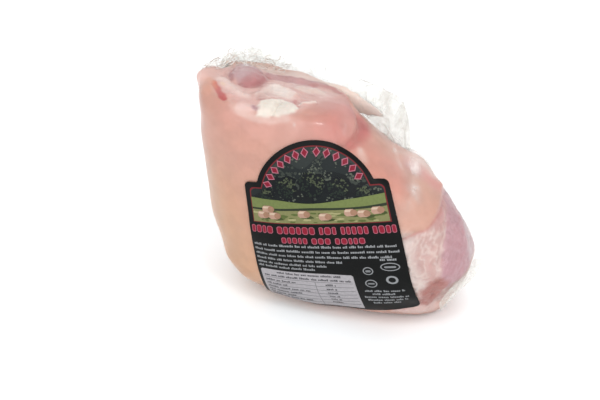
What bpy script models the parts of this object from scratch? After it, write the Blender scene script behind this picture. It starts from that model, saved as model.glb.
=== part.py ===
"""A pork knuckle sealed in a clear bag, with a paper label on its front.

Metres, +Z up. The knuckle stands on its flat underside, its long way along X, and the label faces -Y.
The origin is under the middle of the whole, on the surface that it stands on.
"""

import math

import bmesh
import bpy
import numpy as np
from mathutils import Vector, noise
from mathutils.bvhtree import BVHTree

MM = 0.001

# The knuckle's side outlines in mm, station by station from the flat underside to the rim of the top cut.
# LEFT and RIGHT are (x, z) at its two ends, FRONT and BACK are (y, z) at its two sides.
LEFT = [(-40, 0), (-55, 3), (-64, 9.5), (-71, 20), (-75.5, 33), (-79, 46), (-81, 60), (-82, 75), (-82.5, 90),
        (-82.5, 102), (-83, 112), (-82, 118)]
RIGHT = [(47, 0), (51.5, 3), (55.5, 10), (60.5, 18.5), (65, 27), (67, 38), (61.5, 52), (54, 65), (43, 77),
         (24, 88.5), (7, 99), (-4, 109)]
FRONT = [(-18, 0), (-26, 2.5), (-33.5, 9), (-39.5, 20), (-42.5, 33), (-44, 46), (-44.5, 59), (-44, 72),
         (-43, 84), (-41, 96), (-38, 106), (-33, 114)]
BACK = [(21, 0), (30, 2.5), (37, 9), (41.5, 20), (44, 33), (45, 46), (45, 59), (44.5, 72), (43.5, 84),
        (42, 94), (39, 102), (34, 108)]
# How square the section is at each station, and how much squarer its front right corner is.
SQUARENESS = [3, 2.9, 2.8, 2.7, 2.6, 2.6, 2.5, 2.5, 2.6, 2.7, 2.9, 3.2]
RIGHT_CORNER = [0.2, 0.2, 0.2, 0.3, 0.4, 0.6, 0.8, 0.9, 1.0, 1.0, 0.6, 0.2]
# The share of its depth that the section loses towards the right end, and how far that end comes forward.
TAPER = [0.25, 0.25, 0.25, 0.28, 0.3, 0.35, 0.4, 0.42, 0.45, 0.45, 0.4, 0.25]
FORWARD = [2, 3, 4, 6, 9, 11, 12, 13, 14, 14, 10, 6]

RING_POINTS = 88
RINGS = 40
TOP_RINGS = 11
TOP_CROWN = 2.5

# Main forms on that surface: the middle line of each in mm, its half width and its height, below 0 for a dent.
RELIEF = {
    "bone end": ([(-60, -3, 117), (-59, 6, 117)], 9, 4.0),
    "hollow round the bone": ([(-70, 8, 117), (-66, -14, 118), (-53, -18, 117), (-47, -2, 116)], 5, -2.5),
    "slit in the rind": ([(-74, -14, 119), (-70, -20, 119), (-62, -28, 117)], 2.6, -3.5),
    "cartilage": ([(-42, -25, 115), (-29, -24, 114)], 6, 2.0),
    "tendon": ([(-42, -7, 115), (-35, -4, 115), (-23, -6, 114)], 4, 2.2),
    "hollow behind the tendon": ([(-46, 10, 114), (-30, 9, 112), (-16, 6, 109)], 5, -2.2),
    "back rim": ([(-72, 28, 112), (-50, 31, 110), (-30, 28, 108), (-14, 18, 107), (-4, 12, 103)], 4, 2.4),
    "rind flap": ([(-14, 21, 105), (0, 19, 98)], 4.5, 4.0),
    "tip of the flap": ([(2, 18, 93), (6, 17, 89)], 5, 7.5),
    "crease": ([(0, 3, 104), (3, -6, 102), (5, -18, 101), (1, -29, 99)], 2.8, -2.4),
    "shoulder fold": ([(20, 4, 88), (30, -2, 84), (38, -3, 80)], 5, 1.8),
    "wrinkle": ([(27, 2, 85), (31, -10, 84), (36, -24, 81), (34, -33, 74)], 3, -1.6),
    "edge of the rind": ([(50, 2, 71), (51, -14, 71), (50, -26, 68), (46, -33, 63)], 3, -2.4),
    "lower edge of the rind": ([(44, -35, 58), (40, -38, 48), (42, -38, 34), (46, -35, 20)], 3.2, -1.6),
    "muscle": ([(60, -16, 56), (62, -22, 40), (58, -26, 26)], 8, 2.2),
    "gap beside the muscle": ([(55, -24, 60), (54, -31, 44), (52, -32, 28)], 3, -1.8),
    "lower fat": ([(30, -32, 9), (44, -29, 10), (55, -18, 12)], 5, 1.2),
}
UNEVEN_HEIGHT = 0.7
UNEVEN_SIZE = 17
LEVEL_UNDER = 8  # below this height the relief fades out to the flat underside

# The bag's trimmed seals stand out of the knuckle, one behind its top and one low at its right end: the line
# where each leaves the surface, and its outer edge, which dives under the surface at both ends, in mm.
SEAL_ROOT = [(-76, 3, 112), (-75, 19, 110), (-64, 29, 107), (-46, 32, 105), (-28, 28, 103), (-14, 23, 100),
             (-3, 20, 93), (8, 15, 87), (19, 7, 82), (26, 1, 79)]
SEAL_EDGE = [(-78, 2, 116), (-80, 21, 118), (-66, 35, 116.5), (-47, 37.5, 112.5), (-27, 34, 111), (-10, 29, 110),
             (4, 26, 108.5), (16, 21, 107), (24, 11, 98), (28, 2, 82)]
LOW_SEAL_ROOT = [(56, 2, 32), (61, 0, 27), (60, -4, 21), (55, -11, 15), (47, -17, 12)]
LOW_SEAL_EDGE = [(59, 3, 34), (69.5, -1, 27), (66, -6, 20), (60, -14, 14.5), (46, -22, 11)]
SEAL_DEPTH = 4
SEAL_THICK = 1.0
SEAL_STEPS = 36

# The label: a sheet with an arched top, wider at the foot, laid up the front in mm.
LABEL_FOOT = (3.5, -32, 7)
LABEL_LEAN = math.radians(8)
LABEL_HEIGHT = 102
LABEL_SHOULDER = 81
LABEL_HALF_FOOT = 43
LABEL_HALF_SHOULDER = 37.4
LABEL_CORNER = 4
ARCH_RADIUS = 31.9
LABEL_GAP = 0.5
LABEL_THICK = 0.4
ARCH_COLUMNS = 9
SIDE_COLUMNS = 3
LABEL_ROWS = 24


def smooth_line(points, steps):
    """Points spread along a Catmull-Rom curve through the given ones."""
    known = np.array(points, float)
    if known.ndim == 1:
        known = known[:, None]
    padded = np.vstack([2 * known[0] - known[1], known, 2 * known[-1] - known[-2]])
    place = np.linspace(0, len(known) - 1, steps)
    start = np.minimum(place.astype(int), len(known) - 2)
    t = (place - start)[:, None]
    a, b, c, d = (padded[start + k] for k in range(4))
    return 0.5 * (2 * b + (c - a) * t + (2 * a - 5 * b + 4 * c - d) * t**2 + (3 * b - a - 3 * c + d) * t**3)


def ring(left, right, front, back, squareness, corner, taper, forward, points):
    """One section of the knuckle through its four side points, evenly spread, from +X round by +Y."""
    turn = np.linspace(0, 2 * math.pi, 721)
    power = 2 / (squareness + corner * np.where(turn > 1.5 * math.pi, -np.sin(2 * turn), 0))
    across = np.sign(np.cos(turn)) * np.abs(np.cos(turn)) ** power
    along = np.sign(np.sin(turn)) * np.abs(np.sin(turn)) ** power
    rightward = ((1 + across) / 2) ** 2
    x = (left[0] + right[0]) / 2 + (right[0] - left[0]) / 2 * across
    y = (front[0] + back[0]) / 2 + (back[0] - front[0]) / 2 * along * (1 - taper * rightward)
    y = y - forward * rightward
    z = (left[1] + right[1] + front[1] + back[1]) / 4
    z = z + (right[1] - left[1]) / 2 * across + (back[1] - front[1]) / 2 * along
    z = z + (left[1] + right[1] - front[1] - back[1]) / 4 * (across**2 - along**2)
    line = np.column_stack([x, y, z])
    length = np.concatenate([[0], np.cumsum(np.linalg.norm(np.diff(line, axis=0), axis=1))])
    even = np.linspace(0, length[-1], points, endpoint=False)
    return np.column_stack([np.interp(even, length, line[:, k]) for k in range(3)])


def knuckle_rings():
    """Every ring of the smooth body, from the underside up and in to the middle of the top cut."""
    outlines = (LEFT, RIGHT, FRONT, BACK, SQUARENESS, RIGHT_CORNER, TAPER, FORWARD)
    rows = [smooth_line(line, RINGS) for line in outlines]
    rings = [ring(*(row[k] for row in rows[:4]), *(row[k, 0] for row in rows[4:]), RING_POINTS)
             for k in range(RINGS)]
    rim = rings[-1]
    middle = rim.mean(axis=0)
    for k in range(1, TOP_RINGS + 1):
        share = 1 - k / (TOP_RINGS + 0.5)
        crown = TOP_CROWN * math.sqrt(1 - share**2)
        rings.append(middle + (rim - middle) * share + [0, 0, crown])
    return np.array(rings)


def directions(rings):
    """The outward direction at each point of the rings."""
    around = np.roll(rings, -1, axis=1) - np.roll(rings, 1, axis=1)
    up = np.gradient(rings, axis=0)
    out = np.cross(around, up)
    return out / np.linalg.norm(out, axis=2, keepdims=True)


def distance_to_line(places, line):
    """How far each place is from a line of straight runs."""
    nearest = np.full(places.shape[:-1], np.inf)
    for start, end in zip(line[:-1], line[1:]):
        run = end - start
        share = np.clip(((places - start) @ run) / (run @ run), 0, 1)
        gap = np.linalg.norm(places - start - share[..., None] * run, axis=-1)
        nearest = np.minimum(nearest, gap)
    return nearest


def relief(places):
    """How far each place of the smooth body moves outward."""
    height = np.array([noise.noise(Vector(p / UNEVEN_SIZE)) for p in places.reshape(-1, 3)])
    height = height.reshape(places.shape[:-1]) * UNEVEN_HEIGHT
    for line, half_width, rise in RELIEF.values():
        gap = distance_to_line(places, smooth_line(line, 4 * len(line)))
        height = height + rise * np.exp(-((gap / half_width) ** 2))
    fade = np.clip(places[..., 2] / LEVEL_UNDER, 0, 1)
    return height * fade


def add_object(name, mesh, colour, roughness):
    """A named object from a bmesh in mm, with its own material."""
    bmesh.ops.scale(mesh, vec=(MM, MM, MM), verts=mesh.verts)
    bmesh.ops.recalc_face_normals(mesh, faces=mesh.faces)
    data = bpy.data.meshes.new(name)
    mesh.to_mesh(data)
    mesh.free()
    data.shade_smooth()
    material = bpy.data.materials.new(name)
    material.use_nodes = True
    shader = material.node_tree.nodes["Principled BSDF"]
    shader.inputs["Base Color"].default_value = (*colour, 1)
    shader.inputs["Roughness"].default_value = roughness
    shader.inputs["Metallic"].default_value = 0
    data.materials.append(material)
    made = bpy.data.objects.new(name, data)
    bpy.context.scene.collection.objects.link(made)
    return made


def body_mesh():
    """The sealed knuckle without its seals."""
    rings = knuckle_rings()
    rings = rings + directions(rings) * relief(rings)[..., None]
    mesh = bmesh.new()
    rows = [[mesh.verts.new(p) for p in line] for line in rings]
    under = mesh.verts.new((*rings[0, :, :2].mean(axis=0), 0))
    top = mesh.verts.new(rings[-1].mean(axis=0) + [0, 0, 0.05])
    for k in range(RING_POINTS):
        n = (k + 1) % RING_POINTS
        mesh.faces.new((under, rows[0][n], rows[0][k]))
        for low, high in zip(rows, rows[1:]):
            mesh.faces.new((low[k], low[n], high[n], high[k]))
        mesh.faces.new((rows[-1][k], rows[-1][n], top))
    return mesh


def strip_mesh(root, edge):
    """A flat strip from under the surface, through its root, to its outer edge, where it is thinnest."""
    root = smooth_line(root, SEAL_STEPS)
    edge = smooth_line(edge, SEAL_STEPS)
    outward = (edge - root) / np.linalg.norm(edge - root, axis=1, keepdims=True)
    side = np.cross(np.gradient(root, axis=0), outward)
    side = side / np.linalg.norm(side, axis=1, keepdims=True) * SEAL_THICK
    root = root - outward * SEAL_DEPTH
    mesh = bmesh.new()
    sections = []
    for r, e, s in zip(root, edge, side):
        corners = (r - s / 2, r + s / 2, e + s / 3, e - s / 3)
        sections.append([mesh.verts.new(p) for p in corners])
    for one, two in zip(sections, sections[1:]):
        for k in range(4):
            n = (k + 1) % 4
            mesh.faces.new((one[k], one[n], two[n], two[k]))
    mesh.faces.new(sections[0])
    mesh.faces.new(sections[-1][::-1])
    return mesh


def fuse(main, others):
    """Joins the other objects into the main one and removes them."""
    joined = bpy.data.collections.new("joined")
    for item in others:
        joined.objects.link(item)
    union = main.modifiers.new("union", "BOOLEAN")
    union.operation = "UNION"
    union.operand_type = "COLLECTION"
    union.collection = joined
    seen = main.evaluated_get(bpy.context.evaluated_depsgraph_get())
    main.modifiers.clear()
    main.data = bpy.data.meshes.new_from_object(seen)
    for item in others:
        bpy.data.objects.remove(item)
    bpy.data.collections.remove(joined)


class Surface:
    """The front of the body, to lay a sheet on."""

    def __init__(self, body):
        points = [v.co / MM for v in body.data.vertices]
        self.tree = BVHTree.FromPolygons(points, [p.vertices[:] for p in body.data.polygons])

    def nearest(self, place):
        spot, out, _, _ = self.tree.find_nearest(place)
        return spot, out

    def walk(self, place, heading, length, steps):
        """Goes straight ahead along the surface; gives the place and the heading there."""
        for _ in range(steps):
            place, out = self.nearest(place + heading * (length / steps))
            heading = (heading - out * heading.dot(out)).normalized()
        return place, heading


def label_top(across):
    """The height of the label's upper outline at a place across the shoulder line."""
    centre = LABEL_HEIGHT - ARCH_RADIUS
    arch = centre + math.sqrt(max(ARCH_RADIUS**2 - across**2, 0))
    return max(arch, LABEL_SHOULDER)


def label_bottom(across):
    inset = abs(across) - (LABEL_HALF_SHOULDER - LABEL_CORNER)
    if inset <= 0:
        return 0
    return LABEL_CORNER - math.sqrt(max(LABEL_CORNER**2 - inset**2, 0))


def label_mesh(surface):
    """The label's sheet, laid column by column on the body."""
    meets = math.sqrt(ARCH_RADIUS**2 - (LABEL_SHOULDER - LABEL_HEIGHT + ARCH_RADIUS) ** 2)
    swing = math.asin(meets / ARCH_RADIUS)
    arch = [ARCH_RADIUS * math.sin(swing * k / ARCH_COLUMNS) for k in range(1, ARCH_COLUMNS + 1)]
    outer = [meets + (LABEL_HALF_SHOULDER - meets) * k / SIDE_COLUMNS for k in range(1, SIDE_COLUMNS + 1)]
    right = arch + outer
    columns = [-a for a in reversed(right)] + [0] + right
    lean = Vector((-math.sin(LABEL_LEAN), 0, math.cos(LABEL_LEAN)))
    foot, out = surface.nearest(Vector(LABEL_FOOT))
    heading = (lean - out * lean.dot(out)).normalized()
    spine = [(foot, heading)]
    for _ in range(LABEL_HEIGHT):
        spine.append(surface.walk(*spine[-1], 1, 1))
    mesh = bmesh.new()
    grid = []
    for across in columns:
        low, high = label_bottom(across), label_top(across)
        grid.append([])
        for row in range(LABEL_ROWS + 1):
            height = low + (high - low) * row / LABEL_ROWS
            flare = 1 + (LABEL_HALF_FOOT / LABEL_HALF_SHOULDER - 1) * (1 - min(height / LABEL_SHOULDER, 1))
            place, up = spine[min(round(height), LABEL_HEIGHT)]
            place, _ = surface.walk(place, up, height - round(height), 1)
            _, out = surface.nearest(place)
            sideways = up.cross(out).normalized() * (1 if across >= 0 else -1)
            place, _ = surface.walk(place, sideways, abs(across) * flare, max(1, round(abs(across) / 2)))
            spot, out = surface.nearest(place)
            grid[-1].append((mesh.verts.new(spot + out * LABEL_GAP),
                             mesh.verts.new(spot + out * (LABEL_GAP + LABEL_THICK))))
    last_column, last_row = len(columns) - 1, LABEL_ROWS
    for c in range(last_column):
        for r in range(last_row):
            for side in (0, 1):
                corners = (grid[c][r][side], grid[c + 1][r][side], grid[c + 1][r + 1][side], grid[c][r + 1][side])
                mesh.faces.new(corners)
    rim = [grid[c][0] for c in range(last_column)] + [grid[last_column][r] for r in range(last_row)]
    rim += [grid[c][last_row] for c in range(last_column, 0, -1)] + [grid[0][r] for r in range(last_row, 0, -1)]
    for here, there in zip(rim, rim[1:] + rim[:1]):
        mesh.faces.new((here[0], there[0], there[1], here[1]))
    return mesh


def main():
    for item in list(bpy.data.objects):
        bpy.data.objects.remove(item)
    bag = add_object("bag", body_mesh(), (0.68, 0.38, 0.31), 0.3)
    label = add_object("label", label_mesh(Surface(bag)), (0.02, 0.02, 0.02), 0.35)
    seals = [add_object("seal", strip_mesh(root, edge), (0.9, 0.9, 0.88), 0.2)
             for root, edge in ((SEAL_ROOT, SEAL_EDGE), (LOW_SEAL_ROOT, LOW_SEAL_EDGE))]
    fuse(bag, seals)
    centre_on_box([bag, label])


def centre_on_box(objects):
    """Moves the meshes so that the whole stands at the middle of its box, on z = 0."""
    points = np.array([v.co for item in objects for v in item.data.vertices])
    low, high = points.min(axis=0), points.max(axis=0)
    shift = Vector(((low[0] + high[0]) / 2, (low[1] + high[1]) / 2, low[2]))
    for item in objects:
        for vertex in item.data.vertices:
            vertex.co -= shift


main()
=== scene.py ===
"""The looks of a pork knuckle sealed in clear film, with a printed label on its front.

The outlines and reliefs are in mm, in their own frame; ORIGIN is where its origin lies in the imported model.
Tones are display values from 0 to 255, colours are linear shares from 0 to 1.
"""

import math

import bmesh
import bpy
import numpy as np
from mathutils import Matrix, Vector, noise
from mathutils.bvhtree import BVHTree


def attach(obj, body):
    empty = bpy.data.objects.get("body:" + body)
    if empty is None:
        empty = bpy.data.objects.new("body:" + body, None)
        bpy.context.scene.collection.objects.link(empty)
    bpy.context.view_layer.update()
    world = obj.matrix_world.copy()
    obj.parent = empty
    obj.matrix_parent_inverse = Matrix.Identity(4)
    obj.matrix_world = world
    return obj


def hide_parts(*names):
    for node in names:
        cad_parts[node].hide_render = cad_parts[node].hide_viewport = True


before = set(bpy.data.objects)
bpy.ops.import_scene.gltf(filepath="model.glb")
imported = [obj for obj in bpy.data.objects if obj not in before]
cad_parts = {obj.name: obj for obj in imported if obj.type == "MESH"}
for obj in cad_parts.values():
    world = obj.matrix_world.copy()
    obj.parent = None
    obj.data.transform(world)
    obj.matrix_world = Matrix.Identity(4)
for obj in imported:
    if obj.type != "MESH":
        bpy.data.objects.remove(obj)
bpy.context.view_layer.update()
MM = 0.001
RANDOM = np.random.default_rng(5)
TONE_SHARE = 0.62  # how much of a display colour goes into a surface, since the light is more than full

# The view: the camera's turn from the front and its tip down, and where the outlines' origin shows.
FRAME_PIXELS = (600, 400)
CAMERA_TURN = math.radians(20)
CAMERA_DROP = math.radians(30)
CAMERA_DISTANCE = 775
CAMERA_AIM = (355, 286)
LENS = 85
SENSOR = 36
NEAR_CLIP = 0.01

# The studio, in metres: each lamp's place, size and power, where they aim, the surround and the floor.
LIGHTS = {"key": ((0.35, -0.9, 0.6), 1.6, 7.3), "spark": ((0.25, -0.35, 0.9), 0.14, 0.9)}
LIGHT_AIM = (0, 0, 0.06)
SURROUND_STRENGTH = 1.13
FLOOR_REACH = 3
FLOOR_COLOURS = ((0.94, 0.965, 0.975), (0.955, 0.98, 0.99))
COLOUR_MIX_INPUTS = (0, 6, 7)  # a mix node's share and its two colours

# The knuckle's side outlines, station by station from the flat underside to the rim of the top cut.
# LEFT and RIGHT are (x, z) at its two ends, FRONT and BACK are (y, z) at its two sides.
LEFT = [(-40, 0), (-55, 3), (-64, 9.5), (-71, 20), (-75.5, 33), (-79, 46), (-81, 60), (-82, 75), (-82.5, 90),
        (-82.5, 102), (-83, 112), (-82, 118)]
RIGHT = [(47, 0), (51.5, 3), (55.5, 10), (60.5, 18.5), (65, 27), (67, 38), (61.5, 52), (54, 65), (43, 77),
         (24, 88.5), (7, 99), (-4, 109)]
FRONT = [(-18, 0), (-26, 2.5), (-33.5, 9), (-39.5, 20), (-42.5, 33), (-44, 46), (-44.5, 59), (-44, 72),
         (-43, 84), (-41, 96), (-38, 106), (-33, 114)]
BACK = [(21, 0), (30, 2.5), (37, 9), (41.5, 20), (44, 33), (45, 46), (45, 59), (44.5, 72), (43.5, 84),
        (42, 94), (39, 102), (34, 108)]
# Also station by station: how square the section is, how much squarer at its front right corner, how much
# its depth tapers to the right, and how far forward its right side lies.
SQUARENESS = [3, 2.9, 2.8, 2.7, 2.6, 2.6, 2.5, 2.5, 2.6, 2.7, 2.9, 3.2]
RIGHT_CORNER = [0.2, 0.2, 0.2, 0.3, 0.4, 0.6, 0.8, 0.9, 1.0, 1.0, 0.6, 0.2]
TAPER = [0.25, 0.25, 0.25, 0.28, 0.3, 0.35, 0.4, 0.42, 0.45, 0.45, 0.4, 0.25]
FORWARD = [2, 3, 4, 6, 9, 11, 12, 13, 14, 14, 10, 6]
TOP_CROWN = 2.5
TOP_POINT_RISE = 0.02
LEVEL_UNDER = 8  # up to this height the relief fades in over the flat underside
RINGS = 190
TOP_RINGS = 58
RING_SAMPLES = 721
RING_POINTS = 360
FRONT_FINENESS = 1.6  # how much closer the points of a ring lie at the front
FRONT_SPREAD = (-8, 16)  # how far to the front of the middle that begins, and is reached in full
RIM_REACH = 6  # rings to either side of the rim that are rounded off
RIM_PASSES = 16
UNEVEN_HEIGHT = 0.7
UNEVEN_SIZE = 17

# Main forms: the middle line of each, its half width and its height, below 0 for a dent.
RELIEF = {
    "bone end": ([(-60, -3, 117), (-59, 6, 117)], 9, 4.0),
    "hollow round the bone": ([(-70, 8, 117), (-66, -14, 118), (-53, -18, 117), (-47, -2, 116)], 5, -2.5),
    "slit in the rind": ([(-74, -14, 119), (-70, -20, 119), (-62, -28, 117)], 2.6, -3.5),
    "cartilage": ([(-42, -25, 115), (-29, -24, 114)], 6, 2.0),
    "tendon": ([(-42, -7, 115), (-35, -4, 115), (-23, -6, 114)], 4, 2.2),
    "hollow behind the tendon": ([(-46, 10, 114), (-30, 9, 112), (-16, 6, 109)], 5, -2.2),
    "back rim": ([(-72, 28, 112), (-50, 31, 110), (-30, 28, 108), (-14, 18, 107), (-4, 12, 103)], 4, 2.4),
    "rind flap": ([(-14, 21, 105), (0, 19, 98)], 4.5, 4.0),
    "tip of the flap": ([(2, 18, 93), (6, 17, 89)], 5, 7.5),
    "crease": ([(0, 3, 104), (3, -6, 102), (5, -18, 101), (1, -29, 99)], 2.8, -2.4),
    "shoulder fold": ([(20, 4, 88), (30, -2, 84), (38, -3, 80)], 5, 1.8),
    "wrinkle": ([(27, 2, 85), (31, -10, 84), (36, -24, 81), (34, -33, 74)], 3, -1.6),
    "edge of the rind": ([(50, 2, 71), (51, -14, 71), (50, -26, 68), (46, -33, 63)], 3, -2.4),
    "lower edge of the rind": ([(44, -35, 58), (40, -38, 48), (42, -38, 34), (46, -35, 20)], 3.2, -1.6),
    "muscle": ([(60, -16, 56), (62, -22, 40), (58, -26, 26)], 8, 2.2),
    "gap beside the muscle": ([(55, -24, 60), (54, -31, 44), (52, -32, 28)], 3, -1.8),
    "lower fat": ([(30, -32, 9), (44, -29, 10), (55, -18, 12)], 5, 1.2),
}
FILM_IN_DENTS = 0.45  # how much of a dent's depth the film follows
# Forms of both the film and the contents.
OUTER_FORMS = {
    "left corner": ([(-83, -9, 118), (-82, -1, 118.5)], 5, 3.1),
    "front of the left corner": ([(-84, -12, 118), (-83, -15, 118)], 3, 1.0),
    "lower left corner": ([(-62, -28, 22), (-55, -31, 16)], 8, 1.7),
    "lobe of the shoulder": ([(29, 2.5, 84.5), (32.5, 1, 83.6)], 5, 3.5),
    "side of the lobe": ([(38, -2, 80.5), (43, -3, 76)], 5, 1.5),
}
# The contents' own forms: some of the above, and finer ones.
CONTENTS_FORMS = {
    "bone end": ([(-63, 4, 117), (-59, -2, 118)], 9, 3.8),
    "rim of the bone": ([(-70.5, 4, 117), (-69.5, -5, 118), (-65.5, -10.5, 118), (-59.5, -13.5, 118),
        (-53, -11.5, 117), (-50, -3, 117), (-51, 6, 116)], 1.5, -2.0),
    "skin by the bone": ([(-70, -13, 118), (-65, -17.5, 118), (-60, -21, 117.5), (-53, -23.5, 117)],
        2.2, 1.2),
    "slit in the rind": ([(-71.4, -19.4, 117.6), (-68.7, -22.4, 117), (-65.3, -26.5, 116.6),
        (-62, -29.4, 116)], 1.4, -2.6),
    "lips of the slit": ([(-68.5, -17.5, 118), (-65, -22, 117.4), (-60, -26.5, 117)], 1.6, 1.1),
    "behind the bone": ([(-82, 6, 116), (-77, 14, 116), (-66, 22, 114), (-52, 26, 112)], 7, -3.6),
    "cartilage, left": ([(-52, -30.5, 115), (-47, -30.5, 115)], 2.0, 0.9),
    "cartilage, middle": ([(-40, -28, 114.5), (-38.5, -24, 115.5)], 3.4, 1.9),
    "cartilage, right": ([(-31, -27, 114), (-30, -23, 115)], 3.4, 1.8),
    "cartilage, joint": ([(-35.4, -33, 113), (-35, -19, 115.5)], 0.9, -1.0),
    "pore": ([(-45, -30.4, 115.6), (-44, -31, 115.3)], 1.3, -0.7),
    "groove over the cartilage": ([(-46, -22, 116.6), (-43, -18, 116), (-38, -14.6, 115.4),
        (-33, -14.6, 115), (-28, -15.5, 114.8), (-25, -19, 115)], 1.3, -1.8),
    "arched fold": ([(-48.4, -21, 116.6), (-47, -14, 115.6), (-45, -6, 115.1), (-39.5, -3, 115.2),
        (-34, -5, 115.2), (-31, -9, 115)], 2.1, 1.8),
    "under the arch": ([(-44, -14, 115.5), (-40, -10.5, 115), (-35, -10.5, 115)], 1.6, -0.9),
    "tendon, right part": ([(-32, 2, 112.6), (-27, 3.5, 111.5), (-23, 4.5, 111)], 3.0, 1.6),
    "fold to the right": ([(-25.8, -16.9, 114.6), (-22.3, -15, 113.7), (-19.8, -12, 113)], 1.2, 1.3),
    "over the ridge": ([(-27, -13.5, 114.6), (-22, -11, 114)], 1.3, -1.3),
    "trough of the lean strip": ([(-52, 8, 116), (-42, 12, 113), (-30, 15, 110.5), (-16, 16, 109.5)],
        3.0, -2.0),
    "back rim": ([(-60, 30, 111), (-44, 30, 110), (-28, 27, 108.5), (-14, 20, 107.5)], 4, 1.6),
    "shoulder of the front": ([(-12, -8, 109), (-9, -20, 108)], 9, 1.4),
    "behind the shoulder": ([(-6, 12, 106), (-1, 4, 104)], 4, -2.6),
    "crease": (RELIEF["crease"][0], 2.4, -2.6),
    "shoulder fold": RELIEF["shoulder fold"],
    "wrinkle": (RELIEF["wrinkle"][0], 3, -1.2),
    "border of the rind": ([(47.5, -5, 71), (50, -20, 68), (48.6, -26.5, 66), (45.5, -31.5, 63),
        (40.3, -35.8, 61), (36, -37.8, 58.6)], 1.8, -1.4),
    "lip of the rind": ([(45, -4, 73), (47, -19, 70.5), (45.5, -26, 69), (42, -31.5, 66.5),
        (37, -35.5, 64)], 2.2, 1.0),
    "muscle": ([(58, -10, 60), (61, -18, 50), (60, -25, 40)], 6, 1.8),
    "gap beside the muscle": ([(51, -14, 67.5), (53.5, -22, 62), (54, -29.5, 53), (53.8, -32, 42),
        (54, -31, 33)], 1.4, -1.8),
    "lower fat": RELIEF["lower fat"],
    "pit by the lower fat": ([(52, -32, 32), (51, -30, 22)], 3.6, -1.6),
    "under the muscle": ([(68, -8, 30), (65, -19, 26), (60, -24, 18), (55, -20, 10)], 7.5, -6),
}
TOP_LUMPS = (5, 0.55)  # the size and height of the top cut's lumps
LEAN_RIDGE_HEIGHT = 1.3
LEAN_RIDGE_LEVEL = 0.3
SKIN_DEPTH = 0.05
# The tongue of rind behind the front: its middle line, its half width and half thickness along it, how many
# points it has, the size, detail and height of its lumps, and between which places along X its tone changes.
FLAP = [(-33, 23.5, 106.5), (-20, 22.5, 104), (-10, 21.5, 100.6), (-3, 21, 98.4), (3, 20.5, 96.7),
        (7, 20, 95.7)]
FLAP_HALF_WIDTH = [1.5, 4.2, 5.0, 3.8, 2.1, 0.6]
FLAP_HALF_THICK = [1.5, 3.0, 2.4, 1.5, 0.8, 0.3]
FLAP_STEPS, FLAP_AROUND = 40, 24
FLAP_LUMPS = (4, 2, 0.8)
FLAP_TONES = [(255, 232, 219), (248, 232, 224)]
FLAP_TONE_TURN = (-12, 6)

# The film's welded strips, from the body to their free edge.
SEAL_ROOT = [(-76, 3, 112), (-75, 19, 110), (-64, 29, 107), (-46, 32, 105), (-28, 28, 103), (-14, 23, 100),
             (-3, 20, 93), (8, 15, 87), (19, 7, 82), (26, 1, 79)]
SEAL_EDGE = [(-78, 2, 116), (-80, 21, 118), (-66, 35, 116.5), (-47, 37.5, 112.5), (-27, 34, 111),
             (-10, 29, 110), (4, 26, 108.5), (16, 21, 107), (24, 11, 98), (28, 2, 82)]
LOW_SEAL_ROOT = [(65.5, -4, 34.1), (64, -12, 30.6), (60, -18, 26.6), (55.8, -21, 21.3), (52.2, -20, 13.6)]
LOW_SEAL_EDGE = [(70.6, -3, 34.6), (67.4, -11, 27.6), (61.8, -17, 21.4), (57, -20, 14.8), (52.9, -19, 8.1)]
FRONT_TUFT_ROOT = [(-84, -10, 118.5), (-80, -6, 119.5), (-74, -2, 120), (-66, 1, 121.5), (-58, 3, 121),
                   (-51, 7, 118.5), (-45, 12, 116)]
FRONT_TUFT_EDGE = [(-85, -8, 121), (-80, -3, 123), (-73, 4, 125), (-65, 8, 126.5), (-57, 9, 125),
                   (-49, 12, 121), (-43, 16, 117.5)]
TUFT_ROOT = [(-82, -7, 116), (-78, 2, 116.5), (-72, 9, 116), (-63, 14, 116), (-54, 16, 115), (-47, 20, 113)]
TUFT_EDGE = [(-83.5, -4, 119), (-81, 9, 121), (-74, 18, 122), (-64, 24, 122), (-53, 24, 119), (-45, 24, 116)]
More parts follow.
